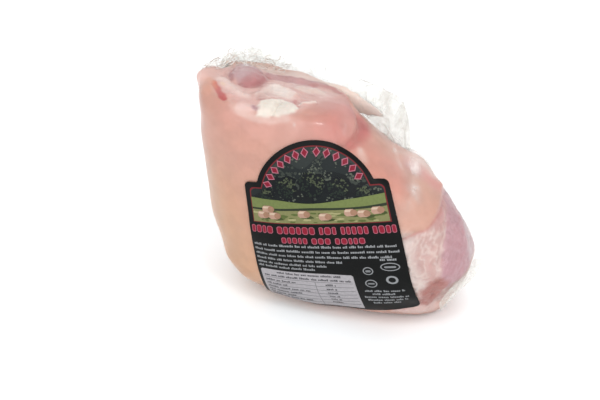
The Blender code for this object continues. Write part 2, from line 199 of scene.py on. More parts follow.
# The film's pleats: the line of each, its half width, its height and how milky it is; that milkiness is a
# painted glint, a white line that stands in for the shine along the fold.
FILM_FOLDS = {
    "left rim": ([(-82.5, -8, 119), (-81, -13, 118.5), (-80, -18, 117.3), (-78, -24, 115.7)],
        1.2, 0.8, 0.85),
    "left side": ([(-81, -20, 112), (-80, -24, 96), (-79, -27, 80)], 1.2, 0.5, 0.25),
    "shoulder line": ([(19, 0, 89.6), (20.9, -4.8, 89.6), (24, -10.3, 88.1), (27.9, -16, 86)],
        0.7, 0.7, 0.7),
    "by the flap": ([(0, 10, 99.5), (5, 10.5, 96.5), (10, 9, 94)], 1.5, 0.8, 0.7),
    "long pleat": ([(26.5, 4, 84.5), (28.8, -2.2, 85.4), (32.3, -12.7, 82.7), (36.8, -24.4, 79.9)],
        0.8, 0.9, 0.8),
    "beside the long pleat": ([(29.3, 0, 84.6), (31, -4, 84.4), (34, -12, 82), (37.6, -21.5, 79.6)],
        1.4, 0.1, 0.2),
    "right branch": ([(36.8, -24.4, 79.9), (39.2, -27.4, 77.7)], 0.65, 0.7, 0.7),
    "left branch": ([(36.8, -24.4, 79.9), (36.9, -28, 78.2), (36.7, -31, 77)], 0.65, 0.7, 0.7),
    "top of the shoulder": ([(24, 6.5, 85.5), (31, 2.5, 83.5), (37, 0, 81), (42, -3, 77.5)],
        2.4, 0.9, 0.75),
    "over the shoulder": ([(27, 3, 84.5), (31, -3, 83.5), (34, -8, 82)], 2.2, 0.4, 0.4),
    "by the crease": ([(-1.6, -18.8, 107.1), (-1, -23.2, 104.9)], 0.7, 0.6, 0.5),
    "below the crease": ([(8, -24, 97), (10, -28, 93)], 1.2, 0.5, 0.3),
    "front nick": ([(-24, -31.5, 110.6), (-23.4, -32, 110.1)], 0.7, 0.4, 0.6),
    "over the fold": ([(-25.8, -16.9, 114.6), (-19.8, -12, 113)], 0.8, 0.6, 0.4),
    "far right": ([(61, -5, 54), (64.5, -10, 47), (66.5, -9, 40)], 0.8, 0.6, 0.6),
    "next to it": ([(62, -14, 52), (65.5, -16, 45), (66.8, -16, 40)], 0.6, 0.5, 0.45),
    "low right": ([(67, -12, 38.8), (65, -22, 37), (62, -27, 31)], 0.9, 0.7, 0.5),
}
FILM_THICK = 0.12
# How the film shines: its roughness, what it reflects face on and at its edges, and its crinkles' depth.
FILM_ROUGHNESS = 0.12
FACE_REFLECTION = 0.018
EDGE_REFLECTION = 0.35
EDGE_SHARPNESS = 4
CRINKLE_DEPTH = 0.9
CLEAR_COLOUR = (0.997, 0.997, 0.995)
# How milky and how crinkled the film round the body is, and how far that reaches in mm; the haze beside
# the folds is a fainter painted glow round their glints.
SHOULDER_CRUMPLE = [(20, 2, 88), (30, -4, 84), (36, -3, 81)]
HAZE = {"even": 0.02, "seals": 0.08, "shoulder": 0.15, "glow beside folds": 0.1, "most": 0.8}
CRINKLE = {"even": 0.02, "seals": 0.6, "shoulder": 0.2, "lean": 0.15}
SEAL_REACH = 9
LOW_SEAL_REACH = 6
CRUMPLE_REACH = 14
CRUMPLE_HAZE_REACH = 7
FOLD_HAZE_REACH = 4
# The strips' crumple: how its pleats lean and stretch towards the free edge, how high and how sharp they are,
# and the ripples on them; how far from its ends the free edge turns ragged; how milky a turn goes; and
# between which shares of its columns a strip gets milkier.
PLEAT_LEAN = 0.4
PLEAT_STRETCH = 0.35
PLEAT_LEVEL = 0.4
PLEAT_SHARPNESS = 1.6
RIPPLE_HEIGHT = 0.12
RIPPLE_FINENESS = 2.5
STRIP_ENDS = 6
TURN_MILKINESS = 3
MILKY_COLUMNS = (0.45, 0.7)
# The short creases: points round each, the fewest steps along it and one over the most, how much further a
# step goes along the strip than across it, the angle cut off at its tips and the least share of its width.
CREASE_SIDES = 4
CREASE_STEPS = (9, 24)
CREASE_STRETCH = 1.4
CREASE_TIP = 0.3
CREASE_THINNEST = 0.4
# Colours of the milkiness: the film's, which also colours the painted glints along its pleats, the strips',
# the welds' and the creases'.
FILM_MILK_AND_GLINT = (0.88, 0.875, 0.85)
STRIP_MILK = (0.50, 0.48, 0.40)
SEAL_MILK = (0.69, 0.68, 0.63)
CREASE_MILK = (0.60, 0.50, 0.44)

# Tints of the rind: a line, its half width, how soft its border is, its colour and its strength.
RIND_TONE = (221, 162, 143)
RIND_TINTS = {
    "low left": ([(-58, -30, 20), (-70, -20, 45)], 34, 0.8, (222, 170, 130), 0.9),
    "front below the rim": ([(-56, -33, 112), (-40, -35, 109), (-20, -33, 108)],
        8, 0.8, (223, 161, 148), 0.6),
    "left corner": ([(-80, -10, 116), (-82, -2, 116)], 9, 0.7, (242, 196, 186), 0.8),
    # Painted rim light: the left edge a little lighter down its length, and a bright painted highlight at its
    # top.
    "rim light down the left side": ([(-82, -22, 110), (-80, -28, 80), (-74, -30, 40)], 5, 0.9, (232, 186, 170), 0.5),
    "rim highlight, upper left": ([(-81.5, -16, 117), (-79.5, -22, 112), (-78.5, -24.5, 102)],
        4, 0.9, (254, 206, 196), 0.9),
    "pink shoulder": ([(-8, 0, 107), (-8, -12, 107), (-4, -24, 105)], 13, 0.95, (219, 138, 129), 0.85),
    # Painted shade: a darker red band along the front shoulder's edge, where it turns away.
    "painted shade along the shoulder's edge": ([(-15, 18.6, 109.8), (-10.3, 14, 108.3), (-4.4, 3, 107.5), (-2, -6, 107)],
        3.4, 0.8, (204, 122, 116), 0.75),
    "crease": ([(1.5, 5, 101), (4.5, -2, 100), (6.2, -12.5, 99.3), (4.4, -22.6, 99.3)],
        3.2, 0.8, (206, 96, 92), 0.9),
    "deepest red": ([(3, 1, 100.5), (5, -4, 99.8)], 2.6, 0.8, (190, 84, 80), 0.6),
    "right of the crease": ([(12, -20, 96), (16, -27, 88), (24, -30, 82)], 9, 0.8, (226, 151, 133), 0.7),
    "pale spot by the crease": ([(9, -24, 96.5), (11, -27, 94)], 2.4, 0.9, (238, 202, 188), 0.6),
    "edge of the slope": ([(10, 11, 91), (20, 5, 86)], 3, 0.9, (216, 172, 178), 0.6),
    "lobe": ([(38, -20, 76), (40, -30, 66), (36, -35, 58)], 12, 0.7, (219, 168, 147), 0.7),
    "pink fold": ([(30, -6, 84), (37, -7, 79.5), (43, -8, 75)], 4, 0.9, (224, 152, 148), 0.8),
    "pale band of the shoulder": ([(28.5, 2, 84), (33.2, -2, 83.7), (39.8, -3, 79.5)],
        2.6, 0.9, (240, 216, 208), 0.8),
    "under the shoulder": ([(24, -18, 87), (30, -26, 81)], 6, 0.9, (224, 146, 132), 0.55),
    "back": ([(-60, 44, 60), (30, 44, 50)], 46, 0.6, (226, 178, 160), 0.5),
}
# Colours of the cut faces, laid over the rind in this order.
CUT_TINTS = {
    "top cut": ("area", [(-74, -17, 118), (-66, -27, 117), (-52, -31, 115), (-38, -32, 113),
        (-26, -29, 113), (-19, -12, 112.5), (-15, 6, 110.5), (-16, 18, 109), (-40, 26, 111), (-66, 24, 114),
        (-77, 8, 117)], 3.5, 12, (234, 188, 180), 0.9),
    "back rim": ("line", [(-62, 24, 112), (-44, 25, 111), (-28, 25, 109), (-14, 21, 108)],
        4.5, 0.5, (236, 206, 194), 0.9),
    "strip of lean": ("line", [(-52, 10.5, 115), (-45, 13, 112), (-37, 15, 111), (-31, 17, 109.8)],
        3.2, 0.35, (204, 148, 147), 0.95),
    "end of the lean strip": ("line", [(-31, 17, 109.8), (-22, 20, 108.6), (-14, 18, 109)],
        1.5, 0.5, (202, 132, 128), 0.9),
    "shade over the lean": ("line", [(-50, 14.5, 113), (-38, 18.5, 110.5), (-24, 22, 108.5)],
        1.0, 0.7, (182, 124, 124), 0.7),
    "bone": ("area", [(-69, -3, 118), (-66, -8.5, 118), (-60.5, -12, 118), (-54.5, -10.5, 117.5),
        (-51.5, -4, 117), (-53, 5, 117), (-58, 13, 116), (-65, 15, 116), (-69.5, 8, 117)],
        0.8, 9, (207, 164, 166), 0.96),
    "bone, grey streak": ("line", [(-64, 8, 117), (-62, -2, 119), (-59, -11, 118)],
        2.2, 0.8, (216, 184, 186), 0.7),
    "bone, right side": ("line", [(-54, 4, 117), (-53, -5, 117.5), (-56, -10, 118)],
        4.2, 0.7, (198, 124, 124), 0.8),
    "bone, dark left rim": ("line", [(-69.3, 1, 118), (-68.5, -4.5, 118), (-65.5, -9, 118)],
        1.2, 0.7, (178, 104, 112), 0.85),
    "bone, dark right rim": ("line", [(-51.5, 0, 116.5), (-52, -6.5, 117), (-55.5, -11, 117.3),
        (-60.5, -12.3, 118)], 1.2, 0.8, (186, 108, 110), 0.8),
    "skin by the bone": ("line", CONTENTS_FORMS["skin by the bone"][0], 2.8, 0.6, (250, 218, 209), 0.9),
    "slit": ("line", [(-71.4, -19.4, 117.6), (-68.7, -22.4, 117.1), (-65.3, -26.5, 116.9),
        (-61.9, -29.4, 116.3)], 1.5, 0.35, (205, 92, 88), 0.95),
    "upper end of the slit": ("line", [(-72.5, -17.5, 118), (-70, -21, 117.5)],
        1.1, 0.5, (220, 120, 96), 0.8),
    "by the slit": ("line", [(-76, -17, 118), (-72, -24, 116)], 3, 0.8, (230, 162, 134), 0.7),
    "fleck by the slit": ("line", [(-67.5, -18.5, 118), (-66.5, -19, 118)], 1.0, 0.5, (246, 214, 190), 0.8),
    "edge by the cartilage": ("line", [(-58, -30, 115), (-50, -33.5, 112.5), (-38, -34, 111),
        (-28, -31, 112)], 1.8, 0.6, (240, 202, 191), 0.7),
    "fat by the cartilage": ("line", [(-52, -31.5, 114.8), (-49, -31.5, 115), (-45, -30.5, 115.5)],
        2.3, 0.7, (241, 206, 198), 0.8),
    "redness over the cartilage": ("line", [(-45, -21, 116.4), (-42.4, -17, 116), (-37, -14.4, 115.3),
        (-31, -14.8, 115), (-26.4, -18, 115.2)], 1.3, 0.8, (222, 158, 152), 0.7),
    "cartilage": ("area", [(-42.8, -33.4, 112.6), (-39.6, -33, 112.3), (-31.7, -31.3, 113.1),
        (-26.8, -28.7, 114.3), (-25, -25.5, 115), (-25.6, -20.6, 115.4), (-30, -17.2, 115.4),
        (-36.8, -16, 115.3), (-41.2, -17.4, 115.8), (-43.8, -23, 116.8), (-44, -30.4, 115.6)],
        1.0, 8, (254, 244, 231), 0.97),
    "cartilage, right end": ("line", [(-30, -28, 114), (-29, -22, 115)], 2.6, 0.6, (246, 232, 222), 0.7),
    "cartilage, joint": ("line", [(-35.4, -31, 113), (-35, -19, 115.5)], 0.7, 0.8, (232, 212, 202), 0.7),
    "pore": ("line", [(-45, -30.2, 115.8), (-44.2, -30.6, 115.6)], 1.5, 0.9, (190, 144, 150), 0.9),
    "red dots": ("line", [(-43.8, -18.8, 116), (-43, -18.4, 116)], 0.9, 0.5, (204, 116, 112), 0.85),
    "red dots, middle": ("line", [(-40, -15, 115.4), (-38, -14.6, 115.3)], 0.8, 0.6, (208, 124, 118), 0.8),
    "red dots, next": ("line", [(-36, -14.6, 115), (-34.4, -14.8, 115)], 0.9, 0.5, (206, 122, 116), 0.85),
    "red dots, right": ("line", [(-31, -14.6, 114.8), (-29, -14.2, 114.8)],
        1.1, 0.6, (202, 120, 116), 0.85),
    "arched fold": ("area", [(-48.4, -21.2, 116.6), (-47.5, -14.5, 115.5), (-45.8, -4.7, 115.1),
        (-42.2, -2.5, 115), (-36.4, -2.8, 115.6), (-30.5, -8, 115), (-31.5, -13, 115),
        (-35.2, -13.6, 115.1), (-39.5, -13.6, 115.3), (-43.4, -17.4, 116.1)],
        1.8, 8, (251, 228, 219), 0.92),
    "foot of the arch": ("line", [(-46.5, -19, 116), (-44, -14, 115.5), (-41, -12, 115)],
        1.2, 0.8, (226, 180, 172), 0.6),
    "top of the arch": ("line", [(-42, -7, 115.2), (-38, -7.5, 115.2)], 2.8, 0.8, (254, 240, 232), 0.8),
    "tendon, right part": ("line", CONTENTS_FORMS["tendon, right part"][0],
        3.4, 0.45, (244, 217, 206), 0.95),
    # Painted highlight: a small bright glint on the tendon.
    "spot on the tendon": ("line", [(-26, 6.5, 110.6), (-24.5, 7, 110.2)], 0.9, 0.6, (252, 240, 230), 0.9),
    # Painted highlight: a whitish line along the ridge to the right.
    "ridge to the right": ("line", CONTENTS_FORMS["fold to the right"][0], 0.9, 0.5, (250, 228, 218), 0.95),
    "over the ridge": ("line", [(-27, -13.5, 114.6), (-23, -12, 114)], 1.2, 0.6, (212, 136, 130), 0.6),
    "lean end": ("area", [(46, 0, 71.5), (47.6, -6, 71), (49, -13, 70), (50, -20, 68), (48.6, -26.5, 66),
        (45.5, -31.5, 63), (40.3, -35.8, 61), (37, -37.4, 59), (32, -39, 57), (32, -38, 30), (35, -33, 9),
        (46, -22, 5), (62, -6, 14), (70, 0, 32), (66, 3, 48), (56, 3, 62)], 0.8, 40, (217, 178, 171), 1.0),
    "pale by the label": ("line", [(37, -38, 58), (37, -38.5, 50), (40, -38, 40), (44, -36, 32)],
        4.8, 0.8, (240, 222, 215), 0.8),
    "pink by the rind": ("line", [(47.5, -6, 70.6), (49.6, -13, 69.4), (50.4, -20, 67), (50, -26, 63)],
        3.0, 0.8, (210, 152, 150), 0.7),
    # The rind's border: its thin red line, darkened further by painted shade where the rind steps down.
    "border of the rind": ("line", [(47.5, -5, 71), (49, -13, 70), (50, -20, 68), (48.6, -26.5, 66),
        (45.5, -31.5, 63), (40.3, -35.8, 61), (36, -37.8, 58.6)], 0.8, 0.7, (204, 128, 122), 0.6),
    "muscle": ("area", [(47.6, -2, 71), (50.5, -10, 69), (52.8, -17, 65.5), (54.6, -25.8, 58.9),
        (55, -29.5, 52.9), (55, -32.1, 44.9), (54.6, -32.4, 37), (56, -31.5, 31), (57.5, -29.5, 23),
        (63, -25, 25), (67.5, -14, 32), (68.5, -3, 38), (64, 3, 50), (58, 3, 60), (50, 2, 69)],
        0.9, 30, (200, 150, 158), 0.95),
    "muscle's white edge": ("line", [(52.6, -18, 65), (53.8, -26, 58.9), (54.2, -30, 52.9),
        (54, -32.4, 44.9), (53.4, -32.8, 38)], 0.9, 0.8, (236, 208, 202), 0.5),
    "muscle's top": ("line", [(49, -5, 70), (54, -6, 64), (59, -6, 57)], 3.2, 0.8, (210, 168, 172), 0.6),
    "muscle's far side": ("line", [(60, -8, 56), (64, -12, 48), (66.5, -14, 41)],
        3.2, 0.8, (208, 180, 184), 0.75),
    "muscle's foot": ("line", [(66, -20, 31), (61, -27, 25), (57, -29, 21)],
        2.0, 0.8, (232, 200, 198), 0.8),
    "brown fat": ("area", [(45.5, -33.6, 28), (50, -34, 34), (53, -33, 37), (56.5, -32, 37), (58, -30, 31),
        (57.5, -27, 22), (55.5, -23, 14.5), (52.4, -20.5, 11.5), (48.4, -25.5, 13), (44, -30, 17)],
        2.2, 20, (184, 112, 102), 0.94),
    "brown fat, right": ("line", [(57.5, -31, 33), (57.5, -28, 24), (55, -24, 17)],
        2.4, 0.9, (194, 126, 118), 0.8),
    "foot": ("area", [(34, -31, 11), (42, -30.5, 14), (46, -28.5, 14.5), (49, -26, 11), (53, -19, 6.5),
        (54, -16, 4), (44, -23, 3), (34, -30, 4)], 1.6, 12, (242, 204, 196), 0.9),
    "pink foot": ("line", [(30, -32, 12), (36, -31.3, 13)], 2.0, 0.8, (216, 146, 140), 0.7),
}
# Streaks over an area, drawn out along one direction: their size in mm, the share of their changes that is
# left along it, the pale tone, the dark tone and the strength. On the lean end they follow its ridges: the
# dark tone is painted shade in the troughs, and the pale tone is partly the membranes' own paleness, partly
# painted highlight on the crests. On the muscle they are its grain.
STREAKS_ALONG = (0.33, 0.42, 0.85)
STREAKS = {
    "lean end": (3.8, 0.4, (244, 224, 216), (208, 156, 152), 0.5),
    "muscle": (1.9, 0.2, (216, 176, 182), (182, 128, 140), 0.45),
}
STREAK_WARP = 1.6
PALE_STREAK_ENDS = (0.02, 0.16)
DARK_STREAK_STARTS = (0.25, 0.6)
BORDER_RAGGED = 0.6
# How far the contents and the film lie over the smooth body, and the film's least gap to the contents.
CONTENTS_LIFT = -0.15
FILM_LIFT = 0.3
FILM_CLEARANCE = 0.25
FILM_EASE = 0.3
FLAP_REACH = 12
FLAP_COVER = (1.5, 5)  # how far beside the flap the film lies over it in full, and where it is down

# The label: a sheet with an arched top, wider at the foot. In its own frame u is across and v is up, in mm.
LABEL_FOOT = (3.5, -32, 7)
LABEL_LEAN = math.radians(8)
LABEL_HEIGHT = 102
LABEL_SHOULDER = 81
LABEL_HALF_FOOT = 43
LABEL_HALF_SHOULDER = 37.4
LABEL_RIGHT_BULGE = 0.045
ARCH_RADIUS = 31.9
ARCH_CENTRE = LABEL_HEIGHT - ARCH_RADIUS
SHOULDER_CORNER = 2.5
FOOT_CORNER = 4
LABEL_LIFT = 0.12
LABEL_THICK = 0.35
LABEL_COLUMNS = 121
LABEL_ROWS = 90
PRINT_STEP = 0.03
PRINT_DEPTH = 0.05
PRINT_CELL = 1.6
PRINT_SHARP_ANGLE = math.radians(40)
SHEET_SHARP_ANGLE = math.radians(50)
INK_SPREAD = 0.06
PLATE_LEVELS = 7  # plates of one piece that overlap lie at slightly different heights
PLATE_SHIFT = 0.003
GROUND_TONE = (10, 11, 11)
WINDOW_LINE = (2.7, 58.3)  # inset from the label's outline and foot
SKY = (3.3, 58.9)
VIEW_INSET = 3.35
VIEW_FOOT = 58.95
# Each printed piece: how many steps it stands over the sheet, and its tone.
PRINTS = {
    "window_line": (1, (128, 38, 44)), "sky": (2, (50, 56, 55)),
    "far_hill": (3, (36, 42, 43)), "near_hill": (4, (24, 29, 31)),
    "leaves_dark": (5, (24, 27, 29)), "leaves_grey": (6, (64, 70, 64)), "leaves_pale": (7, (98, 104, 92)),
    "tree_crowns": (8, (19, 23, 27)), "tree_greens": (9, (40, 50, 42)), "tree_lights": (10, (82, 90, 68)),
    "far_meadow": (11, (122, 134, 80)), "hedge": (12, (50, 58, 42)), "near_meadow": (13, (138, 138, 92)),
    "grass_dark": (14, (98, 110, 60)), "grass_pale": (15, (176, 172, 124)),
    "bale_shade": (16, (74, 84, 46)), "bales": (17, (196, 158, 138)),
    "bale_tops": (18, (222, 196, 172)), "bale_ends": (18.5, (172, 132, 108)),
    "arc_edges": (11, (196, 120, 138)), "arc_middles": (12, (140, 30, 52)),
    "title_edges": (1, (190, 104, 122)), "title_middles": (2, (150, 32, 54)),
    "small_print": (1, (158, 160, 163)), "mark_middles": (2, GROUND_TONE),
    "mark_fills": (3, (140, 142, 145)),
    "panel": (1, (188, 184, 188)), "panel_lines": (2, (134, 131, 136)), "panel_dashes": (3, (92, 90, 95)),
}
# The printed view's hills, and its meadows with a hedge, as lines of (u, v).
HILLS = {
    "far_hill": [(-36, 74), (-26, 83), (-15, 92), (-5, 88), (6, 95), (17, 91), (27, 83), (36, 74)],
    "near_hill": [(-36, 72), (-26, 77), (-14, 84), (-4, 80), (8, 86), (20, 82), (29, 76), (36, 73)],
}
MEADOWS = {
    "far_meadow": [(-36, 73), (-20, 71.6), (-4, 69.8), (14, 71.5), (36, 74)],
    "hedge": [(-36, 67.2), (-18, 67), (0, 67.6), (18, 67.4), (36, 68.8)],
    "near_meadow": [(-36, 66.2), (-18, 65.8), (0, 66.3), (18, 66.2), (36, 67.2)],
}
# Leaves on the hills: how many are tried, their sizes, how high they reach and the size of their patches.
LEAVES = {
    "leaves_dark": (300, (0.8, 2.0), 98, 9),
    "leaves_grey": (1100, (0.4, 1.0), 99, 7),
    "leaves_pale": (900, (0.25, 0.6), 99, 5),
}
LEAVES_FOOT = 71
LEAVES_HALF_WIDTH = 33
PATCH_LEVEL = 0.12
# Trees as (u, v, radius), and hay bales by the middle of their foot.
TREES = [(-25, 74, 3.8), (-14.5, 78.5, 6.6), (-1, 80, 7.4), (12, 77.5, 6.2), (24, 74.5, 4.0)]
BALES = [(-28.5, 61.3), (-22.5, 61.0), (-25.6, 64.6), (-7, 62.2), (3.5, 60.8), (16, 62.6), (22.2, 61.8),
         (29, 63.2)]
BALE_SIZE = (5.4, 3.9)
# The trees' trunks: height of the foot, half width there and at the top; and the leaves on their crowns.
TRUNK_FOOT = 67.5
TRUNK_HALF_WIDTHS = (0.6, 0.45)
LEAVES_PER_MM = 13
LEAF_SIZES = (0.25, 0.6)
CROWN_REACH = 0.85
LIGHT_TURN = 0.6
# Tufts of grass: how many, how many of them dark, where they stand and their sizes.
GRASS_COUNT, GRASS_DARK = 60, 34
GRASS_ACROSS = (-32, 32)
GRASS_UP = (59.6, 65)
GRASS_SIZES = (0.8, 2.4)
# The lozenges on the arch: the radius they stand on, their angles, and the radius and squash of each.
ARC_RADIUS = 26.1
ARC_ANGLES = [157, 147, 137, 127, 117, 107, 97, 84, 73, 62, 51, 40, 29]
ARC_EDGE, ARC_MIDDLE = (2.6, 0.74), (2.0, 0.7)
# Rows of blocks: left end, right end and foot; for the titles also the height and the blocks in each group.
TITLE_ROWS = [(-36, 36, 52.4, 4.3, (4, 6, 3, 5, 4)), (-20.5, 20.5, 46.9, 3.5, (5, 3, 5))]
SMALL_ROWS = [(-36, 35.5, 44.6), (-36, 35.5, 41.5), (-36, 32, 38.5), (-36, 8, 35.5), (-36, 0, 32.7),
              (-36, -6, 30.2), (15, 34, 16.4), (18, 30, 14), (14, 34.5, 11.6), (15, 33.5, 9.2),
              (17, 31, 6.8), (25.5, 33, 37, 1.1)]
TITLE_RIM = 0.34
BLOCK_WIDTHS = (0.7, 1.3)  # as shares of the even width
BLOCK_GAP, WORD_GAP = 0.6, 2.2
# Small print: the fewest blocks in a word and one over the most, their widths and heights, and the gaps.
SMALL_BLOCKS = (3, 9)
SMALL_WIDTHS = (0.4, 0.85)
SMALL_HEIGHTS = (0.65, 0.72, 1.0)
SMALL_BLOCK_GAP, SMALL_WORD_GAP = 0.2, 0.75
# Plain marks as discs: u, v, radius, squash and number of points; and the bars in them.
MARKS = [(19, 31, 2.4), (29.5, 33.3, 4.5, 0.56, 24), (19, 22.6, 2.8), (29, 24.8, 2.8)]
MARK_MIDDLES = [(19, 31, 1.9), (29.5, 33.3, 4.0, 0.5, 24), (19, 22.6, 2.25), (29, 24.8, 1.7)]
MARK_BARS = [(17.8, 30.3, 2.4, 1.3), (26.8, 32.7, 5.4, 1.1), (17.4, 22.1, 3.2, 1.0)]
WINDOW_POINTS = 401
# The pale table: left, low, right and high; its lines' heights; and the height and right end of its rows.
PANEL = (-35.6, 1.8, 11.5, 28.4)
PANEL_CORNER = 0.8
PANEL_LINES = [22.4, 19.5, 16.6, 13.7, 10.8, 7.9, 5.0]
PANEL_LINE_HEIGHT = 0.28
PANEL_DIVIDER = (-8.2, -7.9, 2.2, 20.4)
PANEL_HEADS = [(-27, 6, 26.2, 1.3), (-34, 10, 23.6, 1.3)]
PANEL_ROWS = [(20.3, -18), (17.4, -22), (14.5, -12), (11.6, -16), (8.7, -20), (5.8, -12)]


# ---------------------------------------------------------------- forms

def smooth_line(points, steps):
    """Points spread along a Catmull-Rom curve through the given ones."""
    known = np.array(points, float)
    if known.ndim == 1:
        known = known[:, None]
    padded = np.vstack([2 * known[0] - known[1], known, 2 * known[-1] - known[-2]])
    place = np.linspace(0, len(known) - 1, steps)
    start = np.minimum(place.astype(int), len(known) - 2)
    t = (place - start)[:, None]
    a, b, c, d = (padded[start + k] for k in range(4))
    return 0.5 * (2 * b + (c - a) * t + (2 * a - 5 * b + 4 * c - d) * t**2 + (3 * b - a - 3 * c + d) * t**3)


def smooth_share(value, low, high):
    """0 up to low, 1 from high on, and a smooth turn between."""
    t = np.clip((value - low) / (high - low), 0, 1)
    return t * t * (3 - 2 * t)


def bell(gap, width):
    """1 where there is no gap, falling away round the given width."""
    return np.exp(-((gap / width) ** 2))


def unit(vectors):
    """Vectors brought to a length of 1."""
    return vectors / np.maximum(np.linalg.norm(vectors, axis=-1, keepdims=True), 1e-9)


def sheet_normals(grid):
    """The direction straight out of a grid of places, at each of them."""
    return unit(np.cross(np.gradient(grid, axis=1), np.gradient(grid, axis=0)))


def between(grid, row, column):
    """What a grid holds at rows and columns that needn't be whole numbers."""
    r, c = row.astype(int), column.astype(int)
    rs, cs = (row - r)[..., None], (column - c)[..., None]
    low = grid[r, c] * (1 - cs) + grid[r, c + 1] * cs
    high = grid[r + 1, c] * (1 - cs) + grid[r + 1, c + 1] * cs
    return low * (1 - rs) + high * rs


def ring(left, right, front, back, squareness, corner, taper, forward):
    """One section of the knuckle through its four side points, evenly spread, from +X round by +Y."""
    turn = np.linspace(0, 2 * math.pi, RING_SAMPLES)
    power = 2 / (squareness + corner * np.where(turn > 1.5 * math.pi, -np.sin(2 * turn), 0))
    across = np.sign(np.cos(turn)) * np.abs(np.cos(turn)) ** power
    along = np.sign(np.sin(turn)) * np.abs(np.sin(turn)) ** power
    rightward = ((1 + across) / 2) ** 2
    x = (left[0] + right[0]) / 2 + (right[0] - left[0]) / 2 * across
    y = (front[0] + back[0]) / 2 + (back[0] - front[0]) / 2 * along * (1 - taper * rightward)
    y = y - forward * rightward
    z = (left[1] + right[1] + front[1] + back[1]) / 4
    z = z + (right[1] - left[1]) / 2 * across + (back[1] - front[1]) / 2 * along
    z = z + (left[1] + right[1] - front[1] - back[1]) / 4 * (across**2 - along**2)
    line = np.column_stack([x, y, z])
    weight = 1 + FRONT_FINENESS * smooth_share(-(line[1:, 1] + line[:-1, 1]) / 2, *FRONT_SPREAD)
    length = np.concatenate([[0], np.cumsum(np.linalg.norm(np.diff(line, axis=0), axis=1) * weight)])
    even = np.linspace(0, length[-1], RING_POINTS, endpoint=False)
    return np.column_stack([np.interp(even, length, line[:, k]) for k in range(3)])


def knuckle_rings():
    """Every ring of the smooth body, from the underside up and in to the middle of the top cut."""
    outlines = (LEFT, RIGHT, FRONT, BACK, SQUARENESS, RIGHT_CORNER, TAPER, FORWARD)
    rows = [smooth_line(line, RINGS) for line in outlines]
    rings = [ring(*(row[k] for row in rows[:4]), *(row[k, 0] for row in rows[4:])) for k in range(RINGS)]
    rim = rings[-1]
    middle = rim.mean(axis=0)
    for k in range(1, TOP_RINGS + 1):
        share = 1 - k / (TOP_RINGS + 0.5)
        crown = TOP_CROWN * math.sqrt(1 - share**2)
        rings.append(middle + (rim - middle) * share + [0, 0, crown])
    rings = np.array(rings)
    low, high = RINGS - RIM_REACH, RINGS + RIM_REACH
    for _ in range(RIM_PASSES):
        rings[low:high] = (rings[low - 1:high - 1] + rings[low + 1:high + 1]) / 2
    return rings


def directions(rings):
    """The outward direction at each point of the rings."""
    around = np.roll(rings, -1, axis=1) - np.roll(rings, 1, axis=1)
    return unit(np.cross(around, np.gradient(rings, axis=0)))


def distance_to_line(places, line):
    """How far each place is from a line of straight runs."""
    nearest = np.full(places.shape[:-1], np.inf)
    for start, end in zip(line[:-1], line[1:]):
        run = end - start
        share = np.clip(((places - start) @ run) / (run @ run), 0, 1)
        gap = np.linalg.norm(places - start - share[..., None] * run, axis=-1)
        nearest = np.minimum(nearest, gap)
    return nearest


def gap_to(places, line, steps=None):
    """How far each place is from the smooth curve through a line's points."""
    return distance_to_line(places, smooth_line(line, steps or 4 * len(line)))


def rough(places, size, detail=0):
    """Smooth random values, about -1 to 1, that change over the given size in mm."""
    flat = places.reshape(-1, 3) / size
    if detail:
        values = [noise.fractal(Vector(p), 0.8, 2.0, detail) for p in flat]
    else:
        values = [noise.noise(Vector(p)) for p in flat]
    return np.array(values).reshape(places.shape[:-1])


def drift(places, size, detail, offsets):
    """Three rough values at each place, each from another part of the noise."""
    return np.stack([rough(places + offset, size, detail) for offset in offsets], axis=-1)


def main_relief(places, dent_share, forms=RELIEF):
    """How far each place of the smooth body moves outward, with its dents at a share of their depth."""
    height = rough(places, UNEVEN_SIZE) * UNEVEN_HEIGHT
    for line, half_width, rise in forms.values():
        share = dent_share if rise < 0 else 1
        height = height + share * rise * bell(gap_to(places, line), half_width)
    return height


def under_fade(places):
    """How much of a relief is left near the flat underside."""
    return np.clip(places[..., 2] / LEVEL_UNDER, 0, 1)


# ---------------------------------------------------------------- meshes

def outline_origin():
    """Where the outlines' own origin lies in the frame, read off the solid's flat underside."""
    foot = np.array([v.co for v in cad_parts["bag"].data.vertices if v.co.z < 1e-6]) / MM
    return np.array([foot[:, 0].min() - LEFT[0][0], foot[:, 1].max() - BACK[0][0], 0])


def add_piece(name, points, faces, material, node):
    """A named object from points in the outlines' frame in mm, in place of a node of the solid model."""
    data = bpy.data.meshes.new(name)
    data.from_pydata(((points + ORIGIN) * MM).tolist(), [], faces)
    data.validate()
    data.shade_smooth()
    data.materials.append(material)
    made = bpy.data.objects.new(name, data)
    bpy.context.scene.collection.objects.link(made)
    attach(made, "root")
    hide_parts(node)
    return made


def grid_faces(rows, columns, closed):
    """The faces of a grid of points; a closed one joins its last column to its first."""
    index = np.arange(rows * columns).reshape(rows, columns)
    right = np.roll(index, -1, axis=1)
    if not closed:
        index, right = index[:, :-1], right[:, :-1]
    quads = np.stack([index[:-1], right[:-1], right[1:], index[1:]], axis=-1)
    return quads.reshape(-1, 4).tolist()


def capped_faces(rows, columns):
    """The faces of closed rings of points, and of a fan to one more point at either end."""
    last, under, top = (rows - 1) * columns, rows * columns, rows * columns + 1
    faces = grid_faces(rows, columns, True)
    for k in range(columns):
        n = (k + 1) % columns
        faces += [(under, n, k), (last + k, last + n, top)]
    return faces


def closed_body(rings):
    """Points and faces of the body: its rings with a middle point under them and one on top."""
    under = [*rings[0, :, :2].mean(axis=0), 0]
    top = rings[-1].mean(axis=0) + [0, 0, TOP_POINT_RISE]
    return np.vstack([rings.reshape(-1, 3), under, top]), capped_faces(*rings.shape[:2])


